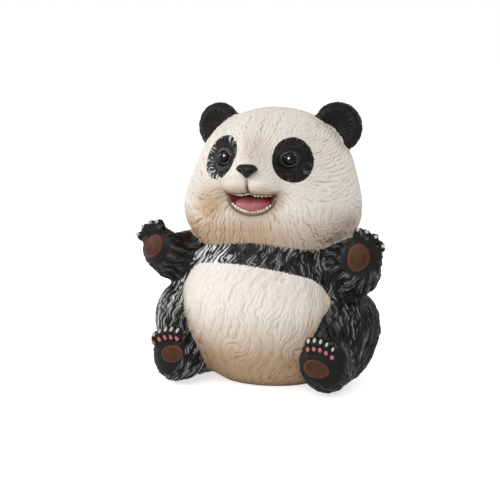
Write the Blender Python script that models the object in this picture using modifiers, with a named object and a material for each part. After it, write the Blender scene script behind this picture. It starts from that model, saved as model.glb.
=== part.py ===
"""Panda figurine: a seated cub cast in resin in one piece, with its fur carved in locks and painted.

The masses of the figure are laid out in millimetres for a panda 192 mm tall. It sits facing -Y,
with +X at its own left, and its underside is the plane Z = 0.
"""

import math
from collections import namedtuple

import bmesh
import bpy
import numpy as np
from mathutils import Euler, Matrix, Vector

# Driving dimensions, in metres
FIGURE_HEIGHT = 0.192
LOCK_LENGTH = 0.017
LOCK_WIDTH = 0.0085
LOCK_DEPTHS = {"head": 0.0010, "trunk": 0.0011, "arms": 0.0016, "legs": 0.0018, "ears": 0.0009}
EYE_RADIUS = 0.0048
CLAW_LENGTH = 0.0044
CLAW_RADIUS = 0.0013
PAD_RELIEF = 0.0012

LAYOUT_HEIGHT = 192
MILLIMETRE = FIGURE_HEIGHT / LAYOUT_HEIGHT

ROUGH_VOXEL = 2.0
FINE_VOXEL = 1.3
BODY_TRIANGLES = 7400
FLOOR_SKIN = 3.0

BLENDS = {
    "skull": 14,
    "face": 9,
    "lips": 3,
    "mouth_edge": 2,
    "eye_socket_edge": 1,
    "ear_dish_edge": 2.5,
    "trunk": 16,
    "tail": 9,
    "underarm": 5,
    "paw": 6,
    "fingers": 2,
    "shin": 10,
    "foot": 5,
    "sole_edge": 4,
    "toes": 2.5,
    "shoulders": 9,
    "hips": 5,
    "ears": 3,
    "neck": 4,
}

Mass = namedtuple("Mass", "centre radii turn", defaults=((0, 0, 0),))
Limb = namedtuple("Limb", "start end start_radius end_radius")

CRANIUM = Mass((0, 6, 144), (54, 49, 43.5))
JAW = Mass((0, -13, 107), (37, 28, 20))
CHEEK = Mass((24, 0, 119.5), (38, 43, 34))
MUZZLE = Mass((0, -35, 141), (21, 18, 13))
BRIDGE = Mass((0, -38, 151), (10, 13, 11), (-20, 0, 0))
CHIN = Mass((0, -31, 125), (19, 15.5, 12))
LIP_LOBE = Mass((8.6, -46.5, 140.2), (11.5, 9, 6.8), (0, 8, 14))
EAR = Mass((43, 10, 174), (16.2, 7, 16.2), (-8, 0, 14))
EAR_DISH = Mass((44.6, 2.5, 174.5), (11.8, 6.5, 11.8), (-8, 0, 14))
EAR_WIDENING = 1.04
EAR_STRETCHES = {-1: 1.0, 1: 1.06}
EAR_LIFTS = {-1: -1.0, 1: 0.6}
MOUTH = Mass((0, -52, 133), (17.4, 17, 12.4))
UPPER_LIP_HEIGHT = 135
TONGUE = Mass((0, -39, 124.8), (11.5, 6, 4), (12, 0, 0))
NOSE = Mass((0, -54, 151.2), (7.4, 4.6, 3.9))
NOSE_TIP = Mass((0, -54, 148.6), (3.6, 4.2, 3.4))
EYE_PLACE = (22.8, 156.8)
EYE_DEPTH = -37.5
EYE_SOCKET = Mass((EYE_PLACE[0], EYE_DEPTH, EYE_PLACE[1]), (7.4, 2.6, 6.2), (0, 0, 22))
EYE_SINK = 0.85
EYE_PATCH = (25.3, 156.2)
EYE_PATCH_RADII = (11.2, 14.9)
EYE_PATCH_TURN = 28

BELLY = Mass((0, -9, 50), (63, 51, 54))
CHEST = Mass((0, 0, 84), (50, 42, 30))
RUMP = Mass((0, 6, 30), (55, 46, 36))
TAIL = Mass((0, 49, 27), (13, 11, 11))
CHEST_BAND_HEIGHT = 87.5
CHEST_BAND_MIDDLE = -10
CHEST_BAND_DROOP = 0.0034
CHEST_BAND_END = 38
CHEST_BAND_END_DROOP = 0.045

UPPER_ARM = Limb((48, -3, 80), (68, -24, 87), 23, 13)
UNDERARM = Limb((56, -8, 76), (68, -22, 80), 18, 12.5)
UNDERARM_END_RADII = {-1: 11.0, 1: 14.0}
PAW = Mass((71.3, -30, 91), (14.6, 8, 13), (0, 18, 12))
PAW_LIFTS = {-1: 0, 1: 2}
PALM = (70.5, -33, 92)
FINGER_ANGLES = (3, 21, 42, 65)
FINGER_RADII = (4.3, 3.4)
FINGER_START = 7.5
FINGER_END = 16
FINGER_SETBACKS = (2.5, -0.5)
HAND_TURN = 12
HAND_LEAN = 0.1
THIGHS = {
    -1: Mass((-54.5, -6, 40), (26.5, 40, 30), (-6, 0, 0)),
    1: Mass((51.3, -6, 38), (25.5, 40, 30), (-6, 0, 0)),
}
SHIN = Limb((49, -12, 21.5), (52, -38, 18.5), 20.5, 16)
FEET = {
    -1: Mass((-54.5, -46, 21.3), (14.8, 15.5, 18.4), (-4, 0, -10)),
    1: Mass((52.6, -46, 23.3), (17.2, 15.5, 18.2), (-4, 0, 10)),
}
SOLE_POINT = (54, -59.5, 20)
SOLE_LEAN = -6
SOLE_TOE_OUT = 14
PALM_PADS = {
    -1: Mass((-75, -38, 93), (6.8, 9.4), (-4, 44, -16)),
    1: Mass((72, -38, 94), (7.3, 9.4), (-4, 14, 16)),
}
SMALL_PALM_PAD = Mass((-81, -36, 95.5), (3.2, 4), (-4, 20, -16))
SOLE_PADS = {
    -1: Mass((-52.5, -60, 24), (8.7, 6.1), (-SOLE_LEAN, -18, -SOLE_TOE_OUT)),
    1: Mass((50.3, -60, 22), (8.7, 6.1), (-SOLE_LEAN, 18, SOLE_TOE_OUT)),
}
TOE_RADII = (3.1, 4.6, 4.8)
TOE_FRONT = -56.5
TOE_SETBACK = 3.5
TOE_HEIGHTS = (37.52, 37.93, 37.24, 35.43, 32.56)
INNER_TOES = {-1: 47.6, 1: 44.6}
OUTER_TOES = {-1: 66.2, 1: 60.2}
TOE_PAD_OFFSET = (0, -3.7, -2.4)

LOCK_SPACING = 0.75
LOCK_OVERLAP = 0.15
LOCK_BEND = 0.25
FUR_CENTRE = (0, -52, 148)
ARM_FLOW = (0.85, -0.45, 0.25)
LEG_FLOW = (0.25, -0.5, -0.8)
EAR_ROOT = (38, 8, 160)
FUR_FADE = 3
BARE_NOSE = ((0, -56, 146), 14)
BARE_MARGIN = 2
BARE_EYE = 8
BARE_PALM = 12
BARE_SOLE = 22

PAD_SINK = 1
TOE_PAD_RADII = (1.6, 1.6, 1.9)
TOE_CLAW_OFFSET = (0, -3, 3.4)
TOE_CLAW_WAY = (0.1, -0.85, -0.35)
FINGER_CLAW_DROOP = 0.5
FINGER_CLAW_REACH = 0.9
CLAW_SEGMENTS = 6
CLAW_TIP = 0.3
FLOOR_BLOCK = (240, 200, 10)

SIDES = (-1, 1)
RESIN = {
    "cream_paint": ((0.78, 0.71, 0.60), 0.55),
    "black_paint": ((0.025, 0.023, 0.022), 0.35),
    "brown_pad_paint": ((0.16, 0.055, 0.035), 0.45),
    "pink_paint": ((0.62, 0.20, 0.20), 0.4),
    "ivory_paint": ((0.70, 0.66, 0.58), 0.35),
}


def mirrored(mass, side):
    """The mass on the panda's left (side 1), or its twin on the right (side -1)."""
    (x, y, z), (turn_x, turn_y, turn_z) = mass.centre, mass.turn
    return Mass((x * side, y, z), mass.radii, (turn_x, turn_y * side, turn_z * side))


def mirrored_limb(limb, side):
    return limb._replace(
        start=(limb.start[0] * side, *limb.start[1:]), end=(limb.end[0] * side, *limb.end[1:])
    )


def ear_mass(mass, side):
    """The ears were modelled by hand: the left one is a little larger and stands a little higher."""
    centre, radii, turn = mirrored(mass, side)
    height = centre[2] + EAR_LIFTS[side]
    grown = (radii[0] * EAR_WIDENING, radii[1], radii[2] * EAR_STRETCHES[side])
    return Mass((centre[0], centre[1], height), grown, turn)


def underarm_limb(side):
    """The full underside of the arm, heavier on the left."""
    return mirrored_limb(UNDERARM, side)._replace(end_radius=UNDERARM_END_RADII[side])


def paw_mass(side):
    """The paw on this side: the left one is held a little higher."""
    x, y, z = PAW.centre
    return mirrored(PAW._replace(centre=(x, y, z + PAW_LIFTS[side])), side)


def palm_place(side):
    """The middle of the palm, from which the fingers fan out."""
    return np.array([PALM[0] * side, PALM[1], PALM[2] + PAW_LIFTS[side]])


def rotation(turn):
    return Euler([math.radians(angle) for angle in turn]).to_matrix()


def ball_distance(points, mass):
    """About how far each point is from an ellipsoid's surface, negative inside it."""
    local = (points - np.array(mass.centre)) @ np.array(rotation(mass.turn))
    radii = np.array(mass.radii, float)
    reach = np.linalg.norm(local / radii, axis=1)
    slope = np.linalg.norm(local / radii**2, axis=1) + 1e-9
    return reach * (reach - 1) / slope


def limb_distance(points, limb):
    start, end = np.array(limb.start, float), np.array(limb.end, float)
    axis = end - start
    along = np.clip((points - start) @ axis / (axis @ axis), 0, 1)
    radius = limb.start_radius + (limb.end_radius - limb.start_radius) * along
    return np.linalg.norm(points - start - along[:, None] * axis, axis=1) - radius


def blend(width, *fields):
    """The fields' union, with a fillet of about this width where they meet."""
    joined = fields[0]
    for field in fields[1:]:
        share = np.clip(0.5 + 0.5 * (field - joined) / width, 0, 1)
        joined = field * (1 - share) + joined * share - width * share * (1 - share)
    return joined


def carve(width, field, cutter):
    return -blend(width, -field, cutter)


def fingers(side):
    """Each finger as a tapered limb that fans out from the palm."""
    turn = math.radians(HAND_TURN)
    across = np.array([math.cos(turn) * side, math.sin(turn), 0])
    upright = np.array([0, -HAND_LEAN, math.sqrt(1 - HAND_LEAN**2)])
    palm = palm_place(side)
    found = []
    for angle in FINGER_ANGLES:
        along = across * math.sin(math.radians(angle)) + upright * math.cos(math.radians(angle))
        start = palm + (0, FINGER_SETBACKS[0], 0) + along * FINGER_START
        end = palm + (0, FINGER_SETBACKS[1], 0) + along * FINGER_END
        found.append(Limb(tuple(start), tuple(end), *FINGER_RADII))
    return found


def toes(side):
    """Five toes along the top of the sole, lower and further back towards the outer one."""
    found = []
    for step, height in zip(np.linspace(0, 1, len(TOE_HEIGHTS)), TOE_HEIGHTS):
        outward = INNER_TOES[side] + (OUTER_TOES[side] - INNER_TOES[side]) * step
        found.append(Mass((outward * side, TOE_FRONT + TOE_SETBACK * step, height), TOE_RADII))
    return found


def sole_normal(side):
    lean, out = math.radians(SOLE_LEAN), math.radians(SOLE_TOE_OUT)
    return np.array(
        [math.sin(out) * side * math.cos(lean), -math.cos(out) * math.cos(lean), -math.sin(lean)]
    )


def sole_distance(points, side):
    """How far each point is in front of the foot's flat sole."""
    return (points - np.array([SOLE_POINT[0] * side, *SOLE_POINT[1:]])) @ sole_normal(side)


def mouth_distance(points):
    return np.maximum(ball_distance(points, MOUTH), points[:, 2] - UPPER_LIP_HEIGHT)


def head_distance(points):
    cheeks = [ball_distance(points, mirrored(CHEEK, side)) for side in SIDES]
    skull = blend(BLENDS["skull"], ball_distance(points, CRANIUM), ball_distance(points, JAW), *cheeks)
    face = blend(BLENDS["face"], skull, *(ball_distance(points, mass) for mass in (MUZZLE, BRIDGE, CHIN)))
    face = carve(BLENDS["mouth_edge"], face, mouth_distance(points))
    sockets = np.minimum(*(ball_distance(points, mirrored(EYE_SOCKET, side)) for side in SIDES))
    face = carve(BLENDS["eye_socket_edge"], face, sockets)
    return blend(BLENDS["lips"], face, *(ball_distance(points, mirrored(LIP_LOBE, side)) for side in SIDES))


def ear_distance(points, side):
    ear = ball_distance(points, ear_mass(EAR, side))
    return carve(BLENDS["ear_dish_edge"], ear, ball_distance(points, ear_mass(EAR_DISH, side)))


def torso_distance(points):
    trunk = blend(BLENDS["trunk"], *(ball_distance(points, mass) for mass in (BELLY, CHEST, RUMP)))
    return blend(BLENDS["tail"], trunk, ball_distance(points, TAIL))


def arm_distance(points, side):
    arm = limb_distance(points, mirrored_limb(UPPER_ARM, side))
    arm = blend(BLENDS["underarm"], arm, limb_distance(points, underarm_limb(side)))
    arm = blend(BLENDS["paw"], arm, ball_distance(points, paw_mass(side)))
    return blend(BLENDS["fingers"], arm, *(limb_distance(points, finger) for finger in fingers(side)))


def leg_distance(points, side):
    shin = limb_distance(points, mirrored_limb(SHIN, side))
    leg = blend(BLENDS["shin"], ball_distance(points, THIGHS[side]), shin)
    leg = blend(BLENDS["foot"], leg, ball_distance(points, FEET[side]))
    leg = carve(BLENDS["sole_edge"], leg, -sole_distance(points, side))
    return blend(BLENDS["toes"], leg, *(ball_distance(points, toe) for toe in toes(side)))


def region_distances(points):
    """The distance to each painted region: head, trunk, arms, legs and ears, in that order."""
    return np.array(
        [
            head_distance(points),
            torso_distance(points),
            np.minimum(arm_distance(points, -1), arm_distance(points, 1)),
            np.minimum(leg_distance(points, -1), leg_distance(points, 1)),
            np.minimum(ear_distance(points, -1), ear_distance(points, 1)),
        ]
    )


def figure_distance(points):
    head, torso, arm, leg, ear = region_distances(points)
    body = blend(BLENDS["hips"], blend(BLENDS["shoulders"], torso, arm), leg)
    joined = blend(BLENDS["neck"], blend(BLENDS["ears"], head, ear), body)
    return np.maximum(joined, -points[:, 2] - FLOOR_SKIN)


def slope_of(points, reach=0.1):
    """The distance's gradient at each point, which on the surface is its normal."""
    found = np.empty_like(points)
    for axis in range(3):
        step = np.zeros(3)
        step[axis] = reach
        found[:, axis] = figure_distance(points + step) - figure_distance(points - step)
    return found / (np.linalg.norm(found, axis=1, keepdims=True) + 1e-9)


def front_of(x, z):
    """The point of the face straight in front of this place, found by stepping in from the front."""
    point = np.array([[x, -90.0, z]])
    for _ in range(60):
        point[0, 1] += 0.8 * figure_distance(point)[0]
    return point[0]


def add_ball(bm, mass, subdivisions=3, offset=0.0):
    """Adds an ellipsoid, grown by the offset all round."""
    radii = [radius + offset for radius in mass.radii]
    place = Matrix.Translation(mass.centre) @ rotation(mass.turn).to_4x4() @ Matrix.Diagonal((*radii, 1))
    bmesh.ops.create_icosphere(bm, subdivisions=subdivisions, radius=1, matrix=place)


def add_limb(bm, limb, steps):
    """Adds a row of overlapping balls along the limb."""
    start, end = Vector(limb.start), Vector(limb.end)
    for share in np.linspace(0, 1, steps):
        radius = limb.start_radius + (limb.end_radius - limb.start_radius) * share
        add_ball(bm, Mass(tuple(start.lerp(end, share)), (radius,) * 3))


def mesh_from(bm, name):
    mesh = bpy.data.meshes.new(name)
    bm.to_mesh(mesh)
    bm.free()
    return mesh


def with_modifier(mesh, kind, **settings):
    """A new mesh: this one after one modifier."""
    helper = bpy.data.objects.new("modelling_helper", mesh)
    bpy.context.scene.collection.objects.link(helper)
    modifier = helper.modifiers.new(kind.title(), kind)
    for key, value in settings.items():
        setattr(modifier, key, value)
    bpy.context.view_layer.update()
    graph = bpy.context.evaluated_depsgraph_get()
    changed = bpy.data.meshes.new_from_object(helper.evaluated_get(graph))
    bpy.data.objects.remove(helper)
    return changed


def remeshed(mesh, voxel):
    return with_modifier(mesh, "REMESH", mode="VOXEL", voxel_size=voxel, adaptivity=0)


def points_of(mesh):
    points = np.empty(len(mesh.vertices) * 3, np.float32)
    mesh.vertices.foreach_get("co", points)
    return points.reshape(-1, 3).astype(float)


def normals_of(mesh):
    normals = np.empty(len(mesh.vertices) * 3, np.float32)
    mesh.vertices.foreach_get("normal", normals)
    return normals.reshape(-1, 3).astype(float)


def move_to(mesh, points):
    mesh.vertices.foreach_set("co", points.astype(np.float32).ravel())
    mesh.update()


def settle(mesh, steps, most):
    """Moves the mesh along its normals onto the figure's surface."""
    for _ in range(steps):
        points = points_of(mesh)
        step = np.clip(figure_distance(points), -most, most)
        move_to(mesh, points - step[:, None] * normals_of(mesh))


def rough_masses():
    """All the figure's balls and limbs in one mesh, each still whole."""
    bm = bmesh.new()
    for mass in (CRANIUM, JAW, MUZZLE, BRIDGE, CHIN, BELLY, CHEST, RUMP, TAIL):
        add_ball(bm, mass)
    for side in SIDES:
        for mass in (CHEEK, LIP_LOBE):
            add_ball(bm, mirrored(mass, side))
        for mass in (paw_mass(side), THIGHS[side], FEET[side], ear_mass(EAR, side)):
            add_ball(bm, mass)
        add_limb(bm, mirrored_limb(UPPER_ARM, side), 6)
        add_limb(bm, underarm_limb(side), 6)
        add_limb(bm, mirrored_limb(SHIN, side), 6)
        for finger in fingers(side):
            add_limb(bm, finger, 4)
        for toe in toes(side):
            add_ball(bm, toe)
    return mesh_from(bm, "rough_masses")


def mouth_cutter():
    """The hollow of the open mouth, flat along the upper lip."""
    bm = bmesh.new()
    add_ball(bm, MOUTH, subdivisions=4, offset=-0.5)
    everything = bm.verts[:] + bm.edges[:] + bm.faces[:]
    lip = (0, 0, UPPER_LIP_HEIGHT - 1)
    bmesh.ops.bisect_plane(bm, geom=everything, plane_co=lip, plane_no=(0, 0, 1), clear_outer=True)
    bmesh.ops.holes_fill(bm, edges=bm.edges[:])
    return mesh_from(bm, "mouth_cutter")


def smooth_body():
    """The figure's smooth form: the masses fused, then drawn onto the blended surface."""
    cutter = bpy.data.objects.new("mouth_cutter", mouth_cutter())
    fused = remeshed(rough_masses(), ROUGH_VOXEL)
    opened = with_modifier(fused, "BOOLEAN", operation="DIFFERENCE", object=cutter)
    bpy.data.objects.remove(cutter)
    rough = remeshed(opened, ROUGH_VOXEL)
    settle(rough, 4, 3)
    fine = remeshed(rough, FINE_VOXEL)
    settle(fine, 3, 1)
    return fine


def even_directions(count):
    """Directions spread evenly over a sphere, by the golden angle."""
    rank = np.arange(count) + 0.5
    height = 1 - 2 * rank / count
    turn = rank * math.pi * (3 - math.sqrt(5))
    ring = np.sqrt(1 - height**2)
    return np.stack([ring * np.cos(turn), ring * np.sin(turn), height], axis=1)


def lock_roots(spacing):
    """Points spread over the figure, no two closer than the spacing."""
    shells = [CRANIUM, JAW, BELLY, CHEST, RUMP]
    for side in SIDES:
        shells += [mirrored(CHEEK, side), paw_mass(side), THIGHS[side], FEET[side], ear_mass(EAR, side)]
        for arm in (mirrored_limb(UPPER_ARM, side), underarm_limb(side)):
            shells += [Mass(arm.start, (arm.start_radius,) * 3), Mass(arm.end, (arm.end_radius,) * 3)]
    directions = even_directions(1400)
    starts = []
    for mass in shells:
        starts.append(directions * mass.radii @ np.array(rotation(mass.turn)).T + mass.centre)
    points = np.concatenate(starts)
    for _ in range(5):
        points = points - figure_distance(points)[:, None] * slope_of(points)
    points = points[np.abs(figure_distance(points)) < 0.2]
    kept = np.empty((0, 3))
    for point in points:
        if not len(kept) or np.linalg.norm(kept - point, axis=1).min() > spacing:
            kept = np.vstack([kept, point])
    return kept


def combed(points, normals):
    """The way the fur lies at each point: out from the face, down the body and along the limbs."""
    region = np.argmin(region_distances(points), axis=0)
    x, y, z = points.T
    side = np.sign(x)
    down = np.array([0, 0, -1.0])
    way = np.tile(down, (len(points), 1))
    head = points - FUR_CENTRE
    head /= np.linalg.norm(head, axis=1, keepdims=True)
    head += down * np.clip((138 - z) / 30, 0, 1)[:, None]
    head += down * np.clip((y + 5) / 40, 0, 1.5)[:, None]
    belly = np.stack([0.35 * np.sin(z / 9 + x / 14), 0 * x, -1 + 0 * x], axis=1)
    outward = np.stack([side, 1 + 0 * x, 1 + 0 * x], axis=1)
    arm, leg = outward * ARM_FLOW, outward * LEG_FLOW
    ear = points - outward * EAR_ROOT
    for number, flow in enumerate((head, belly, arm, leg, ear)):
        way[region == number] = flow[region == number]
    way -= np.sum(way * normals, axis=1, keepdims=True) * normals
    return way / (np.linalg.norm(way, axis=1, keepdims=True) + 1e-9)


def fur_amount(points):
    """How much fur each point carries: none on the nose, lips, eyes, palms, soles and underside."""
    bare = [
        ball_distance(points, NOSE) - BARE_MARGIN,
        mouth_distance(points) - BARE_MARGIN,
        np.abs(points[:, 2]) - BARE_MARGIN / 2,
        np.linalg.norm(points - BARE_NOSE[0], axis=1) - BARE_NOSE[1],
    ]
    for side in SIDES:
        eye = mirrored(EYE_SOCKET, side).centre
        bare.append(np.linalg.norm(points - eye, axis=1) - BARE_EYE)
        bare.append(np.linalg.norm(points - PALM_PADS[side].centre, axis=1) - BARE_PALM)
        near_sole = np.linalg.norm(points - SOLE_PADS[side].centre, axis=1) - BARE_SOLE
        bare.append(np.maximum(near_sole, -BARE_MARGIN - sole_distance(points, side)))
    return np.clip(np.min(bare, axis=0) / FUR_FADE, 0, 1)


def lock_relief(points, roots, ways, across):
    """The height of the carved locks: each rises from its root to a pointed tip over the next."""
    length, width = LOCK_LENGTH / MILLIMETRE, LOCK_WIDTH / MILLIMETRE
    relief = np.zeros(len(points))
    for number, (root, way, side) in enumerate(zip(roots, ways, across)):
        near = np.flatnonzero(np.abs(points - root).max(axis=1) < length)
        offset = points[near] - root
        along = offset @ way / length + LOCK_OVERLAP
        bend = LOCK_BEND * math.sin(number * 2.4)
        sideways = (offset @ side - bend * length * along**2) / (width / 2)
        taper = np.sin(math.pi * np.clip(along, 0, 1) ** 0.65) ** 0.8 + 1e-6
        ridge = np.sqrt(np.clip(1 - (sideways / taper) ** 2, 0, 1))
        height = ridge * (0.35 + 0.65 * np.clip(along, 0, 1)) * ((along > 0) & (along < 1))
        relief[near] = np.maximum(relief[near], height)
    return relief


def carve_fur(mesh):
    """Raises the locks and sinks the grooves between them, each by half the carving's depth."""
    points = points_of(mesh)
    roots = lock_roots(LOCK_WIDTH / MILLIMETRE * LOCK_SPACING)
    normals = slope_of(roots)
    ways = combed(roots, normals)
    relief = lock_relief(points, roots, ways, np.cross(normals, ways)) - 0.5
    region = np.argmin(region_distances(points), axis=0)
    depth = np.array(list(LOCK_DEPTHS.values()))[region] / MILLIMETRE * fur_amount(points)
    move_to(mesh, points + (relief * depth)[:, None] * normals_of(mesh))


def is_dark(points):
    """Whether each point is painted black: limbs, ears, chest band and eye patches."""
    region = np.argmin(region_distances(points), axis=0)
    x, y, z = np.abs(points[:, 0]), points[:, 1], points[:, 2]
    band_edge = CHEST_BAND_HEIGHT - CHEST_BAND_DROOP * (points[:, 0] - CHEST_BAND_MIDDLE) ** 2
    band_edge -= CHEST_BAND_END_DROOP * np.maximum(x - CHEST_BAND_END, 0) ** 2
    turn = math.radians(EYE_PATCH_TURN)
    out, up = x - EYE_PATCH[0], z - EYE_PATCH[1]
    wide = (out * math.cos(turn) + up * math.sin(turn)) / EYE_PATCH_RADII[0]
    tall = (up * math.cos(turn) - out * math.sin(turn)) / EYE_PATCH_RADII[1]
    patch = (wide**2 + tall**2 < 1) & (y < -8) & (region == 0)
    return patch | (region >= 2) | ((region == 1) & (z > band_edge))


def paint(mesh):
    """Gives each face of the body its cream or black material."""
    centres = np.array([face.center for face in mesh.polygons])
    mesh.polygons.foreach_set("material_index", is_dark(centres).astype(np.int32))


def add_claw(bm, tip, way):
    """A short cone whose root is sunk in the finger or toe."""
    length, radius = CLAW_LENGTH / MILLIMETRE, CLAW_RADIUS / MILLIMETRE
    turn = Vector(way).to_track_quat("Z", "Y").to_matrix().to_4x4()
    bmesh.ops.create_cone(
        bm,
        cap_ends=True,
        segments=CLAW_SEGMENTS,
        radius1=radius,
        radius2=radius * CLAW_TIP,
        depth=length,
        matrix=Matrix.Translation(tip) @ turn,
    )


def claws():
    bm = bmesh.new()
    for side in SIDES:
        for finger in fingers(side):
            start, end = Vector(finger.start), Vector(finger.end)
            way = (end - start).normalized() + Vector((0, -FINGER_CLAW_DROOP, 0))
            add_claw(bm, end + way.normalized() * finger.end_radius * FINGER_CLAW_REACH, way)
        for toe in toes(side):
            way = (TOE_CLAW_WAY[0] * side, *TOE_CLAW_WAY[1:])
            add_claw(bm, Vector(toe.centre) + Vector(TOE_CLAW_OFFSET), way)
    return mesh_from(bm, "claws")


def pads():
    """The brown pads of the palms and soles."""
    bm = bmesh.new()
    relief = PAD_RELIEF / MILLIMETRE
    for palm in (*PALM_PADS.values(), SMALL_PALM_PAD):
        x, _, z = palm.centre
        centre = front_of(x, z) + (0, PAD_SINK, 0)
        radii = (palm.radii[0], relief + PAD_SINK, palm.radii[1])
        add_ball(bm, Mass(tuple(centre), radii, palm.turn), subdivisions=2)
    for side, pad in SOLE_PADS.items():
        centre = np.array(pad.centre)
        centre = centre - sole_normal(side) * sole_distance(centre[None], side)
        add_ball(bm, Mass(tuple(centre), (pad.radii[0], relief, pad.radii[1]), pad.turn), subdivisions=2)
    return mesh_from(bm, "pads")


def pink_parts():
    """The tongue and the toes' small round pads."""
    bm = bmesh.new()
    add_ball(bm, TONGUE, subdivisions=2)
    for side in SIDES:
        for toe in toes(side):
            centre = Vector(toe.centre) + Vector(TOE_PAD_OFFSET)
            add_ball(bm, Mass(tuple(centre), TOE_PAD_RADII), subdivisions=1)
    return mesh_from(bm, "pink_parts")


def black_parts():
    """The nose, a rounded triangle, and the eyeballs."""
    bm = bmesh.new()
    eye_radius = EYE_RADIUS / MILLIMETRE
    add_ball(bm, NOSE, subdivisions=2)
    add_ball(bm, NOSE_TIP, subdivisions=2)
    for side in SIDES:
        centre = (EYE_PLACE[0] * side, EYE_DEPTH + eye_radius * EYE_SINK, EYE_PLACE[1])
        add_ball(bm, Mass(tuple(centre), (eye_radius,) * 3), subdivisions=2)
    return mesh_from(bm, "black_parts")


def floor_block():
    """A slab that cuts the figure's flat underside."""
    bm = bmesh.new()
    slab = Matrix.Translation((0, 0, -FLOOR_BLOCK[2] / 2)) @ Matrix.Diagonal((*FLOOR_BLOCK, 1))
    bmesh.ops.create_cube(bm, size=1, matrix=slab)
    return mesh_from(bm, "floor_block")


def resin_material(name):
    colour, roughness = RESIN[name]
    material = bpy.data.materials.new(name)
    material.use_nodes = True
    shader = material.node_tree.nodes["Principled BSDF"]
    shader.inputs["Base Color"].default_value = (*colour, 1)
    shader.inputs["Roughness"].default_value = roughness
    shader.inputs["Metallic"].default_value = 0
    return material


def add_object(mesh, name, collection, materials):
    """Scales a mesh from its layout in millimetres to metres and places it as an object."""
    mesh.transform(Matrix.Scale(MILLIMETRE, 4))
    mesh.name = name
    for material in materials:
        mesh.materials.append(material)
    placed = bpy.data.objects.new(name, mesh)
    collection.objects.link(placed)
    return placed


def add_helper(mesh, name, collection, materials=()):
    """A shape that the figure's Booleans use, which isn't a piece of its own."""
    helper = add_object(mesh, name, collection, materials)
    helper.hide_render = True
    helper.display_type = "WIRE"
    return helper


def combine(figure, helper, operation):
    modifier = figure.modifiers.new(helper.name, "BOOLEAN")
    modifier.operation = operation
    modifier.solver = "EXACT"
    modifier.use_self = operation == "UNION"
    modifier.material_mode = "TRANSFER"
    modifier.object = helper


def main():
    for old in list(bpy.data.objects):
        bpy.data.objects.remove(old)
    collection = bpy.data.collections.new("panda_figurine")
    helpers = bpy.data.collections.new("panda_figurine_helpers")
    for added in (collection, helpers):
        bpy.context.scene.collection.children.link(added)
    paints = {name: resin_material(name) for name in RESIN}

    body = smooth_body()
    carve_fur(body)
    paint(body)
    materials = [paints["cream_paint"], paints["black_paint"]]
    figure = add_object(body, "panda_figure", collection, materials)
    thin = figure.modifiers.new("Fewer triangles", "DECIMATE")
    thin.ratio = BODY_TRIANGLES / (2 * len(figure.data.polygons))

    black = [paints["black_paint"]]
    combine(figure, add_helper(floor_block(), "floor_block", helpers), "DIFFERENCE")
    combine(figure, add_helper(black_parts(), "nose_and_eyes", helpers, black), "UNION")
    combine(figure, add_helper(pads(), "pads", helpers, [paints["brown_pad_paint"]]), "UNION")
    combine(figure, add_helper(pink_parts(), "tongue_and_toe_pads", helpers, [paints["pink_paint"]]), "UNION")
    combine(figure, add_helper(claws(), "claws", helpers, [paints["ivory_paint"]]), "UNION")


main()
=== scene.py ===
"""Panda figurine: a seated cub cast in resin, carved with fur and painted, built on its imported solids.

The figure is laid out in millimetres for a panda 192 mm tall. It sits facing -Y, with +X at its own
left, and its underside is the plane Z = 0.
"""

import math
from collections import namedtuple

import bmesh
import bpy
import numpy as np
from bpy.props import FloatProperty, FloatVectorProperty, PointerProperty
from mathutils import Euler, Matrix, Vector


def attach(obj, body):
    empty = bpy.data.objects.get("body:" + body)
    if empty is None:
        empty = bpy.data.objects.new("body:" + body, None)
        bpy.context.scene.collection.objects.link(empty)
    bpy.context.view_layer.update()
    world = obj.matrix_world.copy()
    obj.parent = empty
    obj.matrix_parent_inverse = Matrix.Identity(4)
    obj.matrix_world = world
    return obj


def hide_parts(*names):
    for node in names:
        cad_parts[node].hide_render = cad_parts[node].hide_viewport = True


bl_info = {
    "name": "Panda Figurine",
    "version": (1, 0, 0),
    "blender": (4, 5, 0),
    "location": "View3D > Sidebar > Panda",
    "description": "Builds a carved and painted panda figurine",
    "category": "Add Mesh",
}

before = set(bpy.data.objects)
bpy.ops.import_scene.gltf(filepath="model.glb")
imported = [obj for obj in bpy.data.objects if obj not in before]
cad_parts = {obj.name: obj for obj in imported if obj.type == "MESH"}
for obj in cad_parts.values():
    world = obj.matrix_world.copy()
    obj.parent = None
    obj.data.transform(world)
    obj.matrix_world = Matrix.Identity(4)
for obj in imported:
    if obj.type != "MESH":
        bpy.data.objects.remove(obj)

BODY_NODE = "panda_figure"
LAYOUT_HEIGHT = 192

ROUGH_VOXEL = 2.0
MIDDLE_VOXEL = 1.0
FINE_VOXEL = 0.57
FLOOR_SKIN = 3.0
DRAWN_STEPS, DRAWN_SHARE = 40, 0.8

BLENDS = {
    "skull": 14,
    "face": 9,
    "lips": 3,
    "mouth_edge": 2,
    "eye_socket_edge": 1,
    "ear_dish_edge": 2.5,
    "trunk": 16,
    "tail": 9,
    "underarm": 5,
    "paw": 6,
    "fingers": 2,
    "shin": 10,
    "foot": 5,
    "sole_edge": 4,
    "toes": 2.5,
    "shoulders": 9,
    "hips": 5,
    "ears": 3,
    "neck": 4,
}

Mass = namedtuple("Mass", "centre radii turn", defaults=((0, 0, 0),))
Limb = namedtuple("Limb", "start end start_radius end_radius")
Strands = namedtuple("Strands", "roots ways across length width")
Spot = namedtuple("Spot", "strength centre spread")

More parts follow.
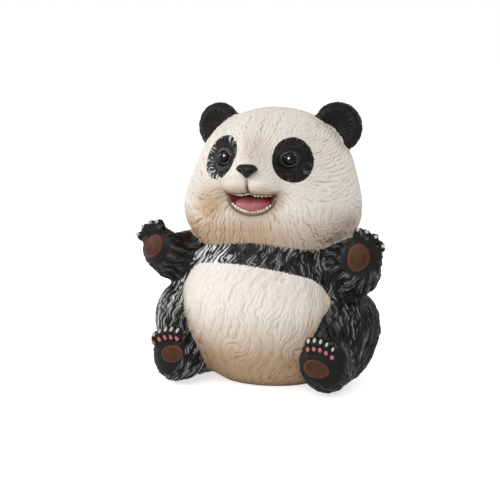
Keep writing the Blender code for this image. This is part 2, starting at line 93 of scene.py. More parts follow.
CRANIUM = Mass((0, 6, 144), (54, 49, 43.5))
JAW = Mass((0, -13, 107), (37, 28, 20))
CHEEK = Mass((24, 0, 119.5), (38, 43, 34))
MUZZLE = Mass((0, -35, 141), (21, 18, 13))
BRIDGE = Mass((0, -38, 151), (10, 13, 11), (-20, 0, 0))
CHIN = Mass((0, -31, 125), (19, 15.5, 12))
LIP_LOBE = Mass((8.6, -46.5, 140.2), (11.5, 9, 6.8), (0, 8, 14))
EAR = Mass((43, 10, 174), (16.2, 7, 16.2), (-8, 0, 14))
EAR_DISH = Mass((44.6, 2.5, 174.5), (11.8, 6.5, 11.8), (-8, 0, 14))
EAR_WIDENING = 1.04
EAR_STRETCHES = {-1: 1.0, 1: 1.06}
EAR_LIFTS = {-1: -1.0, 1: 0.6}
MOUTH = Mass((0, -52, 133), (17.4, 17, 12.4))
UPPER_LIP_HEIGHT = 135
TONGUE = Mass((0, -40, 126.6), (13.8, 7.8, 5.2), (14, 0, 0))
NOSE = Mass((0, -54, 151.2), (7.4, 4.6, 3.9))
EYE_PLACE = (22.8, 156.8)
EYE_DEPTH = -37.5
EYE_SOCKET = Mass((EYE_PLACE[0], EYE_DEPTH, EYE_PLACE[1]), (7.4, 2.6, 6.2), (0, 0, 22))
EYE_SINK = 0.85
# The painted highlight on each eye: which way it lies from the eye's middle, and its radius.
GLINT_WAY = Vector((0.12, -1, 0.2))
GLINT_RADIUS = 0.75
EYE_PATCH = (25.3, 156.2)
EYE_PATCH_RADII = (11.2, 14.9)
EYE_PATCH_TURN = 28

BELLY = Mass((0, -9, 50), (63, 51, 54))
CHEST = Mass((0, 0, 84), (50, 42, 30))
RUMP = Mass((0, 6, 30), (55, 46, 36))
TAIL = Mass((0, 49, 27), (13, 11, 11))
CHEST_BAND_HEIGHT = 87.5
CHEST_BAND_MIDDLE = -10
CHEST_BAND_DROOP = 0.0034
CHEST_BAND_END = 38
CHEST_BAND_END_DROOP = 0.045

UPPER_ARM = Limb((48, -3, 80), (68, -24, 87), 23, 13)
UNDERARM = Limb((56, -8, 76), (68, -22, 80), 18, 12.5)
UNDERARM_END_RADII = {-1: 11.0, 1: 14.0}
PAW = Mass((71.3, -30, 91), (14.6, 8, 13), (0, 18, 12))
PAW_LIFTS = {-1: 0, 1: 2}
PALM = (70.5, -33, 92)
FINGER_ANGLES = (3, 21, 42, 65)
FINGER_RADII = (4.3, 3.4)
FINGER_START = 7.5
FINGER_END = 16
FINGER_SETBACKS = (2.5, -0.5)
HAND_TURN = 12
HAND_LEAN = 0.1
THIGHS = {
    -1: Mass((-54.5, -6, 40), (26.5, 40, 30), (-6, 0, 0)),
    1: Mass((51.3, -6, 38), (25.5, 40, 30), (-6, 0, 0)),
}
SHIN = Limb((49, -12, 21.5), (52, -38, 18.5), 20.5, 16)
FEET = {
    -1: Mass((-54.5, -46, 21.3), (14.8, 15.5, 18.4), (-4, 0, -10)),
    1: Mass((52.6, -46, 23.3), (17.2, 15.5, 18.2), (-4, 0, 10)),
}
SOLE_POINT = (54, -59.5, 20)
SOLE_LEAN = -6
SOLE_TOE_OUT = 14
PALM_PADS = {
    -1: Mass((-75, -38, 93), (6.8, 9.4), (-4, 44, -16)),
    1: Mass((72, -38, 94), (7.3, 9.4), (-4, 14, 16)),
}
SMALL_PALM_PAD = Mass((-81, -36, 95.5), (3.2, 4), (-4, 20, -16))
SOLE_PADS = {
    -1: Mass((-52.5, -60, 24), (8.7, 6.1), (-SOLE_LEAN, -18, -SOLE_TOE_OUT)),
    1: Mass((50.3, -60, 22), (8.7, 6.1), (-SOLE_LEAN, 18, SOLE_TOE_OUT)),
}
TOE_RADII = (3.1, 4.6, 4.8)
TOE_FRONT = -56.5
TOE_SETBACK = 3.5
TOE_HEIGHTS = (37.52, 37.93, 37.24, 35.43, 32.56)
INNER_TOES = {-1: 47.6, 1: 44.6}
OUTER_TOES = {-1: 66.2, 1: 60.2}
TOE_PAD_OFFSET = (0, -3.7, -2.4)

LOCK_SPACING = 0.75
LOCK_OVERLAP = 0.15
LOCK_BEND = 0.25
LOCK_BEND_STEP = 2.4
LOCK_TAPER = (0.65, 0.8)
LOCK_ROOT_HEIGHT = 0.35
ROOT_DIRECTIONS = 1400
ROOT_STEPS = 5
ROOT_TOLERANCE = 0.2
FUR_CENTRE = (0, -52, 148)
JAW_FALL = (138, 108)
BACK_FALL = (-5, 35)
BELLY_SWAY = (0.35, 9, 14)
ARM_FLOW = (0.85, -0.45, 0.25)
LEG_FLOW = (0.25, -0.5, -0.8)
EAR_ROOT = (38, 8, 160)
FUR_FADE = 3
BARE_NOSE = ((0, -56, 146), 6, 1.5)
BARE_MOUTH = 1.6
BARE_LIPS = (2.2, 1.6)
BARE_FLOOR = 1
BARE_MARGIN = 2
BARE_EYE = 8
BARE_PALM = 12
BARE_SOLE = 22

SIDES = (-1, 1)

# What follows is for the head, trunk, arms, legs and ears, in that order.
LOCK_DEPTHS = (0.25, 0.35, 1.2, 1.3, 0.5)
TUFT_DEPTHS = (0.35, 0.75, 1.1, 1.2, 0.4)
STRAND_DEPTHS = (0.72, 0.34, 0.9, 0.95, 0.6)
STRAND_PERIODS = (2.1, 2.5, 2.0, 2.0, 1.9)
STRAND_SWINGS = (0.6, 0.9, 0.5, 0.6, 0.2)
STRAND_WAVES = (8.5, 16.0, 10.0, 11.0, 7.0)
GROOVE_PAINTS = (1.0, 0.42, 1.0, 1.0, 1.0)
EDGE_FRAYS = (1.2, 2.6, 2.6, 2.6, 1.5)

TUFT_PERIOD, TUFT_SWING, TUFT_WAVE = 3.1, 1.6, 1.5
TUFT_SEED, STRAND_SEED, CURL_SEED = 5, 11, 21
RIDGE_SHARES = (0.15, 0.25, 0.6)
STRAND_CENTRE = (0, -50, 141)
BACK_DROP = 0.45
JAW_WIDENING = (128, 26, 1.2)
TRUNK_CURL, TRUNK_LEAN, TRUNK_AXIS = 15, 0.25, -4
LIMB_AXES = (((48, -3, 80), (70, -27, 89)), ((46, -2, 60), (60, -24, 20)))
EAR_AXIS_DROP = 3
EYE_STRANDS = 24
LEAST_RADIUS = 2.5
DRIFT_SIZE, DRIFT_TURN, DRIFT_REACH = 7, 9, 3.2
FORK_START, FORK_LENGTH = 0.3, 0.4
STRAND_LEVELS = (0.55, 0.45)
STRAND_LENGTH = 15
EYE_COMB = (17, 12)

# What lies at the front of the face is in front of these depths.
FACE_FRONT = -20
MOUTH_FRONT = -30
MUZZLE_FRONT = -40
NOSE_FRONT = -44
LIP_RIM = (0.5, 0.7, 0.5)
LIP_RIM_HEIGHTS = (134, 132)
CREASE_TOP, CREASE_FOOT, CREASE_LENGTH = 148, 134, 12
CREASE_DEPTH, CREASE_WIDTH = 0.9, (0.7, 0.06)
EYE_RIM = (7.0, 6.0)
EYE_RIM_PLACE = (1.02, 0.16)
EYE_RIM_HEIGHT = 0.3

EYE_SQUASH = (1.06, 0.85)
EYE_LOOK = (0.25, 0.02)
LID_POINTS = 40
LID_HALF_WIDTH, LID_POINT = 4.9, 0.5
LID_HEIGHTS = (5.1, 4.1)
LID_TILT, LID_DROP, LID_SINK = -20, 0.5, 0.35
LID_RADII = (0.65, 0.4)
NOSTRIL_PLACE, NOSTRIL_SIZE, NOSTRIL_DEPTH = (3.9, -0.7), (1.6, 1.0), 2.0
NOSE_GROOVE = (0.35, 0.5)
TONGUE_GROOVE = (0.8, 1.6)
TOOTH_THICKNESS, TOOTH_TAPER = 1.5, 0.78
UPPER_TEETH, UPPER_TEETH_REACH, UPPER_TOOTH_WIDTH = 12, 12.5, 2.0
UPPER_TEETH_FRONT, UPPER_TEETH_CURVE = -48.2, 0.035
LOWER_TEETH, LOWER_TEETH_REACH = 14, 13.2
GUM_DEPTH = 0.9
CLAW_RINGS = 9
FINGER_CLAW_RADIUS, FINGER_CLAW_DROOP, FINGER_CLAW_SINK = 1.45, 0.3, 0.45
TOE_CLAW_LENGTH, TOE_CLAW_RADIUS, TOE_CLAW_DROOP = 3.4, 1.35, 0.9
TOE_CLAW_OFFSET, TOE_CLAW_WAY = (0, -1.4, 3.2), (0.1, -0.85, -0.1)
PAD_RIM, PAD_WOBBLE = (0.3, 0.86, 0.08), 0.025
TOE_PAD_RADII, TOE_PAD_RELIEF = (1.5, 1.85), 1.1

# The second tones, which break up each plain paint.
LID_SECOND = (0.04, 0.037, 0.035)
NOSE_SECOND = (0.012, 0.011, 0.010)
TONGUE_SECOND = (0.36, 0.085, 0.095)
TEETH_SECOND = (0.66, 0.58, 0.45)
PAD_SECOND = (0.082, 0.030, 0.014)
BEAN_SECOND, BEAN_RIM = (0.52, 0.14, 0.14), (0.12, 0.02, 0.02)
FLOOR_TONES = ((0.86, 0.86, 0.86), (0.88, 0.88, 0.88))

PAINT_SLOPE = 0.6
NECK_PAINT, NECK_PAINT_HEIGHTS = 1.2, (112, 108)
FLANK_PAINT, FLANK_SIDES = 1.5, (50, 56)
PATCH_SLOPE, PATCH_BACK = 12, -8
CORNER_ROUNDING = 5
JAW_WASH, JAW_WASH_HEIGHTS = 0.85, (127, 109)
JAW_WASH_FADE, JAW_WASH_SIDES = 0.3, (6, 26)
CHEEK_WASH = Spot(1.0, (-31, 124), (14, 14))
BROW_WASH = Spot(0.4, (0, 165), (8, 10))
LIP_WASH, LIP_WASH_REACH, LIP_WASH_TOP = 0.85, 5.5, 137
# Tan wash with painted shade under the lip lobes and down the philtrum's valley.
LOBE_WASH_AND_SHADE, LOBE_WASH_HEIGHT, LOBE_WASH_SIDES = 0.65, 4, (20, 14)
VALLEY_WASH_AND_SHADE, VALLEY_WIDTH, VALLEY_HEIGHTS = 0.5, 3, (150, 144)
BELLY_WASH_HEIGHTS, BELLY_WASH_POWER = (60, 20), 1.3
# The flanks' tan wash is heavier on the figure's left, where it is partly painted shade on the side away from
# the key light.
FLANK_WASHES_AND_SHADE, FLANK_WASH_SIDES = (0.25, 0.6), (36, 54)
WASH_EVERYWHERE = 0.1
HEAD_MARGIN = 5
# Painted shade in the creases: under the jaw, round the ears, beside the limbs, at the floor and beside the
# mouth's right corner.
JAW_SHADE, LIMB_SHADE, EAR_SHADE, FLOOR_SHADE = (0.75, 2.2), (0.7, 2.5), (0.3, 2.0), (0.6, 2.0)
CORNER_SHADE = Spot(0.6, (-21, 133), (6, 8))
LIP_CORNER = Spot(1.0, (16.6, 133.5), (1.8, 2.2))
LOWER_LIP, LOWER_LIP_HEIGHTS = (0.9, 1.4, 0.95), (133, 130)
UPPER_LIP, UPPER_LIP_SIDES = (0.7, 134.6, 0.7), (18, 14)
CREASE_LINE, CREASE_LINE_HEIGHTS = (0.35, 0.09), (CREASE_TOP, 140)
# Grey dry brush with painted highlights on the black fur's ridges: heaviest on the right side's front,
# towards the key light, and fainter towards the back.
PATCH_SILVERS, PATCH_SILVER_REACH = (1.0, 0.1), (8, 14)
BAND_SILVER, BAND_SILVER_SIDES = 0.25, (-8, -26)
ARM_SILVERS = (0.08, 0.16)
LEG_SILVERS = (0.9, 0.22)
FOOT_FADE, FOOT_FADE_DEPTHS = 0.6, (-38, -46)
OUTER_FADE, OUTER_FADE_SIDES, OUTER_FADE_DEPTHS = 0.75, (66, 72), (-28, -18)
EAR_SILVERS, EAR_RIM = (0.02, 0.16), (12.5, 15.5)
HIDDEN_SILVER, HIDDEN_SILVER_DEPTHS = 0.2, (8, -8)

# How the fur's paint follows its relief, and where each coat ends.
GROOVE_TOP, CREST_FOOT = 0.5, 0.56
WASH_SHARES = (0.45, 0.82)
GROOVE_SHARES = (0.45, 0.5)
STROKE_SCALE, STROKE_TUFT, STROKE_SILVER = 110.0, 0.5, 0.22
STROKE_EDGE, DARK_EDGE, MOUTH_EDGE = (0.76, 0.93), (-0.25, 0.25), (-0.2, 0.3)
FUR_SPECULAR, CREAM_ROUGHNESS, GRAIN_ROUGHNESS = 0.24, 0.46, 0.12
SILVER_ROUGHNESS = (0.1, 0.6, 0.36, 0.2)
SPECK_HEIGHT, FUR_BUMP = 0.15, 0.0004

BODY_CUTS = {
    "fur_face": [((0, 0, 103), (0, 0, -1)), ((0, -4, 0), (0, 1, 0))],
    "fur_back_of_head": [((0, 0, 103), (0, 0, -1)), ((0, -4, 0), (0, -1, 0))],
    "fur_chest_and_arms": [((0, 0, 103), (0, 0, 1)), ((0, 0, 60), (0, 0, -1))],
    "fur_belly_and_feet": [((0, 0, 60), (0, 0, 1)), ((0, -8, 0), (0, 1, 0))],
    "fur_back_and_tail": [((0, 0, 60), (0, 0, 1)), ((0, -8, 0), (0, -1, 0))],
}

CAMERA_TURN = 19.5
CAMERA_RISE = 10
CAMERA_DISTANCE = 1.1
FRAME_WIDTH = 0.347
AIM_SIDE = 0.015962
AIM_RISE = 0.006246
SKY_STRENGTH = 0.42
FLOOR_GLOW = 0.66
SUN_STRENGTH = 0.93
SUN_WAY = (-0.18, -0.8, 0.85)
SOFTBOXES = (
    ("left_softbox", (-0.95, -0.35, 0.45), 0.35, 3.6),
    ("eye_softbox", (-0.1, -1.4, 0.6), 0.2, 1.2),
    ("front_softbox", (0.35, -1.4, 0.7), 0.4, 1.6),
    ("back_softbox", (0.6, 0.7, 0.8), 0.5, 3.0),
)


def ramp(values, low, high):
    """From 0 at low to 1 at high, and level beyond them."""
    return np.clip((values - low) / (high - low), 0, 1)


def hump(values, middle, width):
    """1 at the middle, falling off to both sides over about this width."""
    return np.exp(-(((values - middle) / width) ** 2))


def spot_amount(spot, across, up):
    """How strong a soft spot on the face is, at places given across and up."""
    near = hump(across, spot.centre[0], spot.spread[0]) * hump(up, spot.centre[1], spot.spread[1])
    return spot.strength * near


def mirrored(mass, side):
    """The mass on the panda's left (side 1), or its twin on the right (side -1)."""
    (x, y, z), (turn_x, turn_y, turn_z) = mass.centre, mass.turn
    return Mass((x * side, y, z), mass.radii, (turn_x, turn_y * side, turn_z * side))


def mirrored_limb(limb, side):
    return limb._replace(
        start=(limb.start[0] * side, *limb.start[1:]), end=(limb.end[0] * side, *limb.end[1:])
    )


def ear_mass(mass, side):
    """The ears were modelled by hand: the left one is a little larger and stands a little higher."""
    centre, radii, turn = mirrored(mass, side)
    height = centre[2] + EAR_LIFTS[side]
    grown = (radii[0] * EAR_WIDENING, radii[1], radii[2] * EAR_STRETCHES[side])
    return Mass((centre[0], centre[1], height), grown, turn)


def underarm_limb(side):
    """The full underside of the arm, heavier on the left."""
    return mirrored_limb(UNDERARM, side)._replace(end_radius=UNDERARM_END_RADII[side])


def paw_mass(side):
    """The paw on this side: the left one is held a little higher."""
    x, y, z = PAW.centre
    return mirrored(PAW._replace(centre=(x, y, z + PAW_LIFTS[side])), side)


def palm_place(side):
    """The middle of the palm, from which the fingers fan out."""
    return np.array([PALM[0] * side, PALM[1], PALM[2] + PAW_LIFTS[side]])


def rotation(turn):
    return Euler([math.radians(angle) for angle in turn]).to_matrix()


def ball_distance(points, mass):
    """About how far each point is from an ellipsoid's surface, negative inside it."""
    local = (points - np.array(mass.centre)) @ np.array(rotation(mass.turn))
    radii = np.array(mass.radii, float)
    reach = np.linalg.norm(local / radii, axis=1)
    slope = np.linalg.norm(local / radii**2, axis=1) + 1e-9
    return reach * (reach - 1) / slope


def limb_distance(points, limb):
    start, end = np.array(limb.start, float), np.array(limb.end, float)
    axis = end - start
    along = np.clip((points - start) @ axis / (axis @ axis), 0, 1)
    radius = limb.start_radius + (limb.end_radius - limb.start_radius) * along
    return np.linalg.norm(points - start - along[:, None] * axis, axis=1) - radius


def blend(width, *fields):
    """The fields' union, with a fillet of about this width where they meet."""
    joined = fields[0]
    for field in fields[1:]:
        share = np.clip(0.5 + 0.5 * (field - joined) / width, 0, 1)
        joined = field * (1 - share) + joined * share - width * share * (1 - share)
    return joined


def carve(width, field, cutter):
    return -blend(width, -field, cutter)


def fingers(side):
    """Each finger as a tapered limb that fans out from the palm."""
    turn = math.radians(HAND_TURN)
    across = np.array([math.cos(turn) * side, math.sin(turn), 0])
    upright = np.array([0, -HAND_LEAN, math.sqrt(1 - HAND_LEAN**2)])
    palm = palm_place(side)
    found = []
    for angle in FINGER_ANGLES:
        along = across * math.sin(math.radians(angle)) + upright * math.cos(math.radians(angle))
        start = palm + (0, FINGER_SETBACKS[0], 0) + along * FINGER_START
        end = palm + (0, FINGER_SETBACKS[1], 0) + along * FINGER_END
        found.append(Limb(tuple(start), tuple(end), *FINGER_RADII))
    return found


def toes(side):
    """Five toes along the top of the sole, lower and further back towards the outer one."""
    found = []
    for step, height in zip(np.linspace(0, 1, len(TOE_HEIGHTS)), TOE_HEIGHTS):
        outward = INNER_TOES[side] + (OUTER_TOES[side] - INNER_TOES[side]) * step
        found.append(Mass((outward * side, TOE_FRONT + TOE_SETBACK * step, height), TOE_RADII))
    return found


def sole_normal(side):
    lean, out = math.radians(SOLE_LEAN), math.radians(SOLE_TOE_OUT)
    return np.array(
        [math.sin(out) * side * math.cos(lean), -math.cos(out) * math.cos(lean), -math.sin(lean)]
    )


def sole_distance(points, side):
    """How far each point is in front of the foot's flat sole."""
    return (points - np.array([SOLE_POINT[0] * side, *SOLE_POINT[1:]])) @ sole_normal(side)


def mouth_distance(points):
    return np.maximum(ball_distance(points, MOUTH), points[:, 2] - UPPER_LIP_HEIGHT)


def head_distance(points):
    cheeks = [ball_distance(points, mirrored(CHEEK, side)) for side in SIDES]
    skull = blend(BLENDS["skull"], ball_distance(points, CRANIUM), ball_distance(points, JAW), *cheeks)
    face = blend(BLENDS["face"], skull, *(ball_distance(points, mass) for mass in (MUZZLE, BRIDGE, CHIN)))
    face = carve(BLENDS["mouth_edge"], face, mouth_distance(points))
    sockets = np.minimum(*(ball_distance(points, mirrored(EYE_SOCKET, side)) for side in SIDES))
    face = carve(BLENDS["eye_socket_edge"], face, sockets)
    return blend(BLENDS["lips"], face, *(ball_distance(points, mirrored(LIP_LOBE, side)) for side in SIDES))


def ear_distance(points, side):
    ear = ball_distance(points, ear_mass(EAR, side))
    return carve(BLENDS["ear_dish_edge"], ear, ball_distance(points, ear_mass(EAR_DISH, side)))


def torso_distance(points):
    trunk = blend(BLENDS["trunk"], *(ball_distance(points, mass) for mass in (BELLY, CHEST, RUMP)))
    return blend(BLENDS["tail"], trunk, ball_distance(points, TAIL))


def arm_distance(points, side):
    arm = limb_distance(points, mirrored_limb(UPPER_ARM, side))
    arm = blend(BLENDS["underarm"], arm, limb_distance(points, underarm_limb(side)))
    arm = blend(BLENDS["paw"], arm, ball_distance(points, paw_mass(side)))
    return blend(BLENDS["fingers"], arm, *(limb_distance(points, finger) for finger in fingers(side)))


def leg_distance(points, side):
    shin = limb_distance(points, mirrored_limb(SHIN, side))
    leg = blend(BLENDS["shin"], ball_distance(points, THIGHS[side]), shin)
    leg = blend(BLENDS["foot"], leg, ball_distance(points, FEET[side]))
    leg = carve(BLENDS["sole_edge"], leg, -sole_distance(points, side))
    return blend(BLENDS["toes"], leg, *(ball_distance(points, toe) for toe in toes(side)))


def region_distances(points):
    """The distance to each painted region: head, trunk, arms, legs and ears, in that order."""
    return np.array(
        [
            head_distance(points),
            torso_distance(points),
            np.minimum(arm_distance(points, -1), arm_distance(points, 1)),
            np.minimum(leg_distance(points, -1), leg_distance(points, 1)),
            np.minimum(ear_distance(points, -1), ear_distance(points, 1)),
        ]
    )


def figure_distance(points):
    head, torso, arm, leg, ear = region_distances(points)
    body = blend(BLENDS["hips"], blend(BLENDS["shoulders"], torso, arm), leg)
    joined = blend(BLENDS["neck"], blend(BLENDS["ears"], head, ear), body)
    return np.maximum(joined, -points[:, 2] - FLOOR_SKIN)


def slope_of(points, reach=0.1):
    """The distance's gradient at each point, which on the surface is its normal."""
    found = np.empty_like(points)
    for axis in range(3):
        step = np.zeros(3)
        step[axis] = reach
        found[:, axis] = figure_distance(points + step) - figure_distance(points - step)
    return found / (np.linalg.norm(found, axis=1, keepdims=True) + 1e-9)


def drawn_onto(points, way):
    """The points moved along one way, and back again where needed, until they lie on the figure."""
    points, way = np.array(points, float), np.array(way, float)
    for _ in range(DRAWN_STEPS):
        points = points + DRAWN_SHARE * figure_distance(points)[:, None] * way
    return points


def front_of(places):
    """The points of the figure straight in front of these places (x, z)."""
    return drawn_onto([(x, -90, z) for x, z in places], (0, 1, 0))


def add_ball(bm, mass, subdivisions=3, offset=0.0):
    """Adds an ellipsoid, grown by the offset all round."""
    radii = [radius + offset for radius in mass.radii]
    place = Matrix.Translation(mass.centre) @ rotation(mass.turn).to_4x4() @ Matrix.Diagonal((*radii, 1))
    bmesh.ops.create_icosphere(bm, subdivisions=subdivisions, radius=1, matrix=place)


def add_limb(bm, limb, steps):
    """Adds a row of overlapping balls along the limb."""
    start, end = Vector(limb.start), Vector(limb.end)
    for share in np.linspace(0, 1, steps):
        radius = limb.start_radius + (limb.end_radius - limb.start_radius) * share
        add_ball(bm, Mass(tuple(start.lerp(end, share)), (radius,) * 3))


def mesh_from(bm, name):
    mesh = bpy.data.meshes.new(name)
    bm.to_mesh(mesh)
    bm.free()
    return mesh


def with_modifier(mesh, kind, **settings):
    """A new mesh: this one after one modifier."""
    helper = bpy.data.objects.new("modelling_helper", mesh)
    bpy.context.scene.collection.objects.link(helper)
    modifier = helper.modifiers.new(kind.title(), kind)
    for key, value in settings.items():
        setattr(modifier, key, value)
    bpy.context.view_layer.update()
    graph = bpy.context.evaluated_depsgraph_get()
    changed = bpy.data.meshes.new_from_object(helper.evaluated_get(graph))
    bpy.data.objects.remove(helper)
    return changed


def remeshed(mesh, voxel):
    return with_modifier(mesh, "REMESH", mode="VOXEL", voxel_size=voxel, adaptivity=0)


def points_of(mesh):
    points = np.empty(len(mesh.vertices) * 3, np.float32)
    mesh.vertices.foreach_get("co", points)
    return points.reshape(-1, 3).astype(float)


def normals_of(mesh):
    normals = np.empty(len(mesh.vertices) * 3, np.float32)
    mesh.vertices.foreach_get("normal", normals)
    return normals.reshape(-1, 3).astype(float)


def move_to(mesh, points):
    mesh.vertices.foreach_set("co", points.astype(np.float32).ravel())
    mesh.update()


def settle(mesh, steps, most):
    """Moves the mesh along its normals onto the figure's surface."""
    for _ in range(steps):
        points = points_of(mesh)
        step = np.clip(figure_distance(points), -most, most)
        move_to(mesh, points - step[:, None] * normals_of(mesh))


def rough_masses():
    """All the figure's balls and limbs in one mesh, each still whole."""
    bm = bmesh.new()
    for mass in (CRANIUM, JAW, MUZZLE, BRIDGE, CHIN, BELLY, CHEST, RUMP, TAIL):
        add_ball(bm, mass)
    for side in SIDES:
        for mass in (CHEEK, LIP_LOBE):
            add_ball(bm, mirrored(mass, side))
        for mass in (paw_mass(side), THIGHS[side], FEET[side], ear_mass(EAR, side)):
            add_ball(bm, mass)
        add_limb(bm, mirrored_limb(UPPER_ARM, side), 6)
        add_limb(bm, underarm_limb(side), 6)
        add_limb(bm, mirrored_limb(SHIN, side), 6)
        for finger in fingers(side):
            add_limb(bm, finger, 4)
        for toe in toes(side):
            add_ball(bm, toe)
    return mesh_from(bm, "rough_masses")


def mouth_cutter():
    """The hollow of the open mouth, flat along the upper lip."""
    bm = bmesh.new()
    add_ball(bm, MOUTH, subdivisions=4, offset=-0.5)
    everything = bm.verts[:] + bm.edges[:] + bm.faces[:]
    lip = (0, 0, UPPER_LIP_HEIGHT - 1)
    bmesh.ops.bisect_plane(bm, geom=everything, plane_co=lip, plane_no=(0, 0, 1), clear_outer=True)
    bmesh.ops.holes_fill(bm, edges=bm.edges[:])
    return mesh_from(bm, "mouth_cutter")


def even_directions(count):
    """Directions spread evenly over a sphere, by the golden angle."""
    rank = np.arange(count) + 0.5
    height = 1 - 2 * rank / count
    turn = rank * math.pi * (3 - math.sqrt(5))
    ring = np.sqrt(1 - height**2)
    return np.stack([ring * np.cos(turn), ring * np.sin(turn), height], axis=1)


def lock_roots(spacing):
    """Points spread over the figure, no two closer than the spacing."""
    shells = [CRANIUM, JAW, BELLY, CHEST, RUMP]
    for side in SIDES:
        shells += [mirrored(CHEEK, side), paw_mass(side), THIGHS[side], FEET[side], ear_mass(EAR, side)]
        for arm in (mirrored_limb(UPPER_ARM, side), underarm_limb(side)):
            shells += [Mass(arm.start, (arm.start_radius,) * 3), Mass(arm.end, (arm.end_radius,) * 3)]
    directions = even_directions(ROOT_DIRECTIONS)
    starts = [directions * mass.radii @ np.array(rotation(mass.turn)).T + mass.centre for mass in shells]
    points = np.concatenate(starts)
    for _ in range(ROOT_STEPS):
        points = points - figure_distance(points)[:, None] * slope_of(points)
    points = points[np.abs(figure_distance(points)) < ROOT_TOLERANCE]
    kept = np.empty((0, 3))
    for point in points:
        if not len(kept) or np.linalg.norm(kept - point, axis=1).min() > spacing:
            kept = np.vstack([kept, point])
    return kept


def along_surface(ways, normals):
    """These ways laid along the surface, each with a length of 1."""
    ways = ways - np.sum(ways * normals, axis=1, keepdims=True) * normals
    return ways / (np.linalg.norm(ways, axis=1, keepdims=True) + 1e-9)


def combed(points, normals):
    """The way the fur lies at each point: out from the face, down the body and along the limbs."""
    region = np.argmin(region_distances(points), axis=0)
    x, y, z = points.T
    down = np.array([0, 0, -1.0])
    way = np.tile(down, (len(points), 1))
    head = points - FUR_CENTRE
    head /= np.linalg.norm(head, axis=1, keepdims=True)
    head += down * ramp(z, *JAW_FALL)[:, None]
    back = (y - BACK_FALL[0]) / (BACK_FALL[1] - BACK_FALL[0])
    head += down * np.clip(back, 0, 1.5)[:, None]
    sway, up_wave, side_wave = BELLY_SWAY
    belly = np.stack([sway * np.sin(z / up_wave + x / side_wave), 0 * x, -1 + 0 * x], axis=1)
    outward = np.stack([np.sign(x), 1 + 0 * x, 1 + 0 * x], axis=1)
    flows = (head, belly, outward * ARM_FLOW, outward * LEG_FLOW, points - outward * EAR_ROOT)
    for number, flow in enumerate(flows):
        way[region == number] = flow[region == number]
    return along_surface(way, normals)


def fur_amount(points):
    """How much fur each point carries: none on the nose, lips, eyes, palms, soles and underside."""

    def reach(place):
        return np.linalg.norm(points - place, axis=1)

    tip, tip_reach, tip_softness = BARE_NOSE
    lip_margin, lip_softness = BARE_LIPS
    bare = [
        ball_distance(points, NOSE) - BARE_MARGIN,
        mouth_distance(points) - BARE_MOUTH,
        np.abs(points[:, 2]) - BARE_FLOOR,
        (reach(tip) - tip_reach) / tip_softness,
    ]
    for side in SIDES:
        bare += [
            (ball_distance(points, mirrored(LIP_LOBE, side)) + lip_margin) / lip_softness,
            reach(mirrored(EYE_SOCKET, side).centre) - BARE_EYE,
            reach(PALM_PADS[side].centre) - BARE_PALM,
            np.maximum(
                reach(SOLE_PADS[side].centre) - BARE_SOLE, -BARE_MARGIN - sole_distance(points, side)
            ),
        ]
    return np.clip(np.min(bare, axis=0) / FUR_FADE, 0, 1)


def smooth_body():
    """The figure's smooth form: the masses fused, then drawn onto the blended surface."""
    cutter = bpy.data.objects.new("mouth_cutter", mouth_cutter())
    fused = remeshed(rough_masses(), ROUGH_VOXEL)
    opened = with_modifier(fused, "BOOLEAN", operation="DIFFERENCE", object=cutter)
    bpy.data.objects.remove(cutter)
    rough = remeshed(opened, ROUGH_VOXEL)
    settle(rough, 4, 3)
    middle = remeshed(rough, MIDDLE_VOXEL)
    settle(middle, 2, 1)
    fine = remeshed(middle, FINE_VOXEL)
    settle(fine, 2, 0.5)
    return fine


class Cells:
    """Points sorted into cubes, so that those near a place are found quickly."""

    def __init__(self, points, size):
        self.size = size
        self.low = points.min(axis=0) - 2 * size
        places = ((points - self.low) / size).astype(np.int64)
        self.counts = places.max(axis=0) + 3
        keys = self.keys_of(places)
        self.order = np.argsort(keys, kind="stable")
        self.keys = keys[self.order]
        self.columns = np.array([(i, j, 0) for i in (-1, 0, 1) for j in (-1, 0, 1)])

    def keys_of(self, places):
        return (places[:, 0] * self.counts[1] + places[:, 1]) * self.counts[2] + places[:, 2]

    def near(self, point):
        """The numbers of the points in the cube round this place and in the 26 next to it."""
        middle = self.keys_of(((point - self.low) / self.size).astype(np.int64) + self.columns)
        starts = np.searchsorted(self.keys, middle - 1)
        ends = np.searchsorted(self.keys, middle + 2)
        return self.order[np.concatenate([np.arange(a, b) for a, b in zip(starts, ends)])]


def lock_relief(points, strands):
    """The height of the large carved locks, which the solids carry too."""
    length, width = strands.length, strands.width
    cells = Cells(points, length)
    relief = np.zeros(len(points))
    for number, (root, way, side) in enumerate(zip(strands.roots, strands.ways, strands.across)):
        near = cells.near(root)
        offset = points[near] - root
        along = offset @ way / length + LOCK_OVERLAP
        bend = LOCK_BEND * math.sin(number * LOCK_BEND_STEP)
        sideways = (offset @ side - bend * length * along**2) / (width / 2)
        share = np.clip(along, 0, 1)
        taper = np.sin(math.pi * share ** LOCK_TAPER[0]) ** LOCK_TAPER[1] + 1e-6
        ridge = np.sqrt(np.clip(1 - (sideways / taper) ** 2, 0, 1))
        height = ridge * (LOCK_ROOT_HEIGHT + (1 - LOCK_ROOT_HEIGHT) * share)
        relief[near] = np.maximum(relief[near], height * ((along > 0) & (along < 1)))
    return relief


def value_noise(points, seed):
    """Smooth noise from 0 to 1 in space, with a random value at each whole-number corner."""
    table = np.random.default_rng(seed).random(8192)
    base = np.floor(points).astype(np.int64)
    share = points - base
    share = share * share * (3 - 2 * share)
    total = np.zeros(len(points))
    for x, y, z in np.ndindex(2, 2, 2):
        corner = (base[:, 0] + x) * 73856093 ^ (base[:, 1] + y) * 19349663 ^ (base[:, 2] + z) * 83492791
        weight = np.abs(1 - x - share[:, 0]) * np.abs(1 - y - share[:, 1]) * np.abs(1 - z - share[:, 2])
        total += weight * table[corner & 8191]
    return total


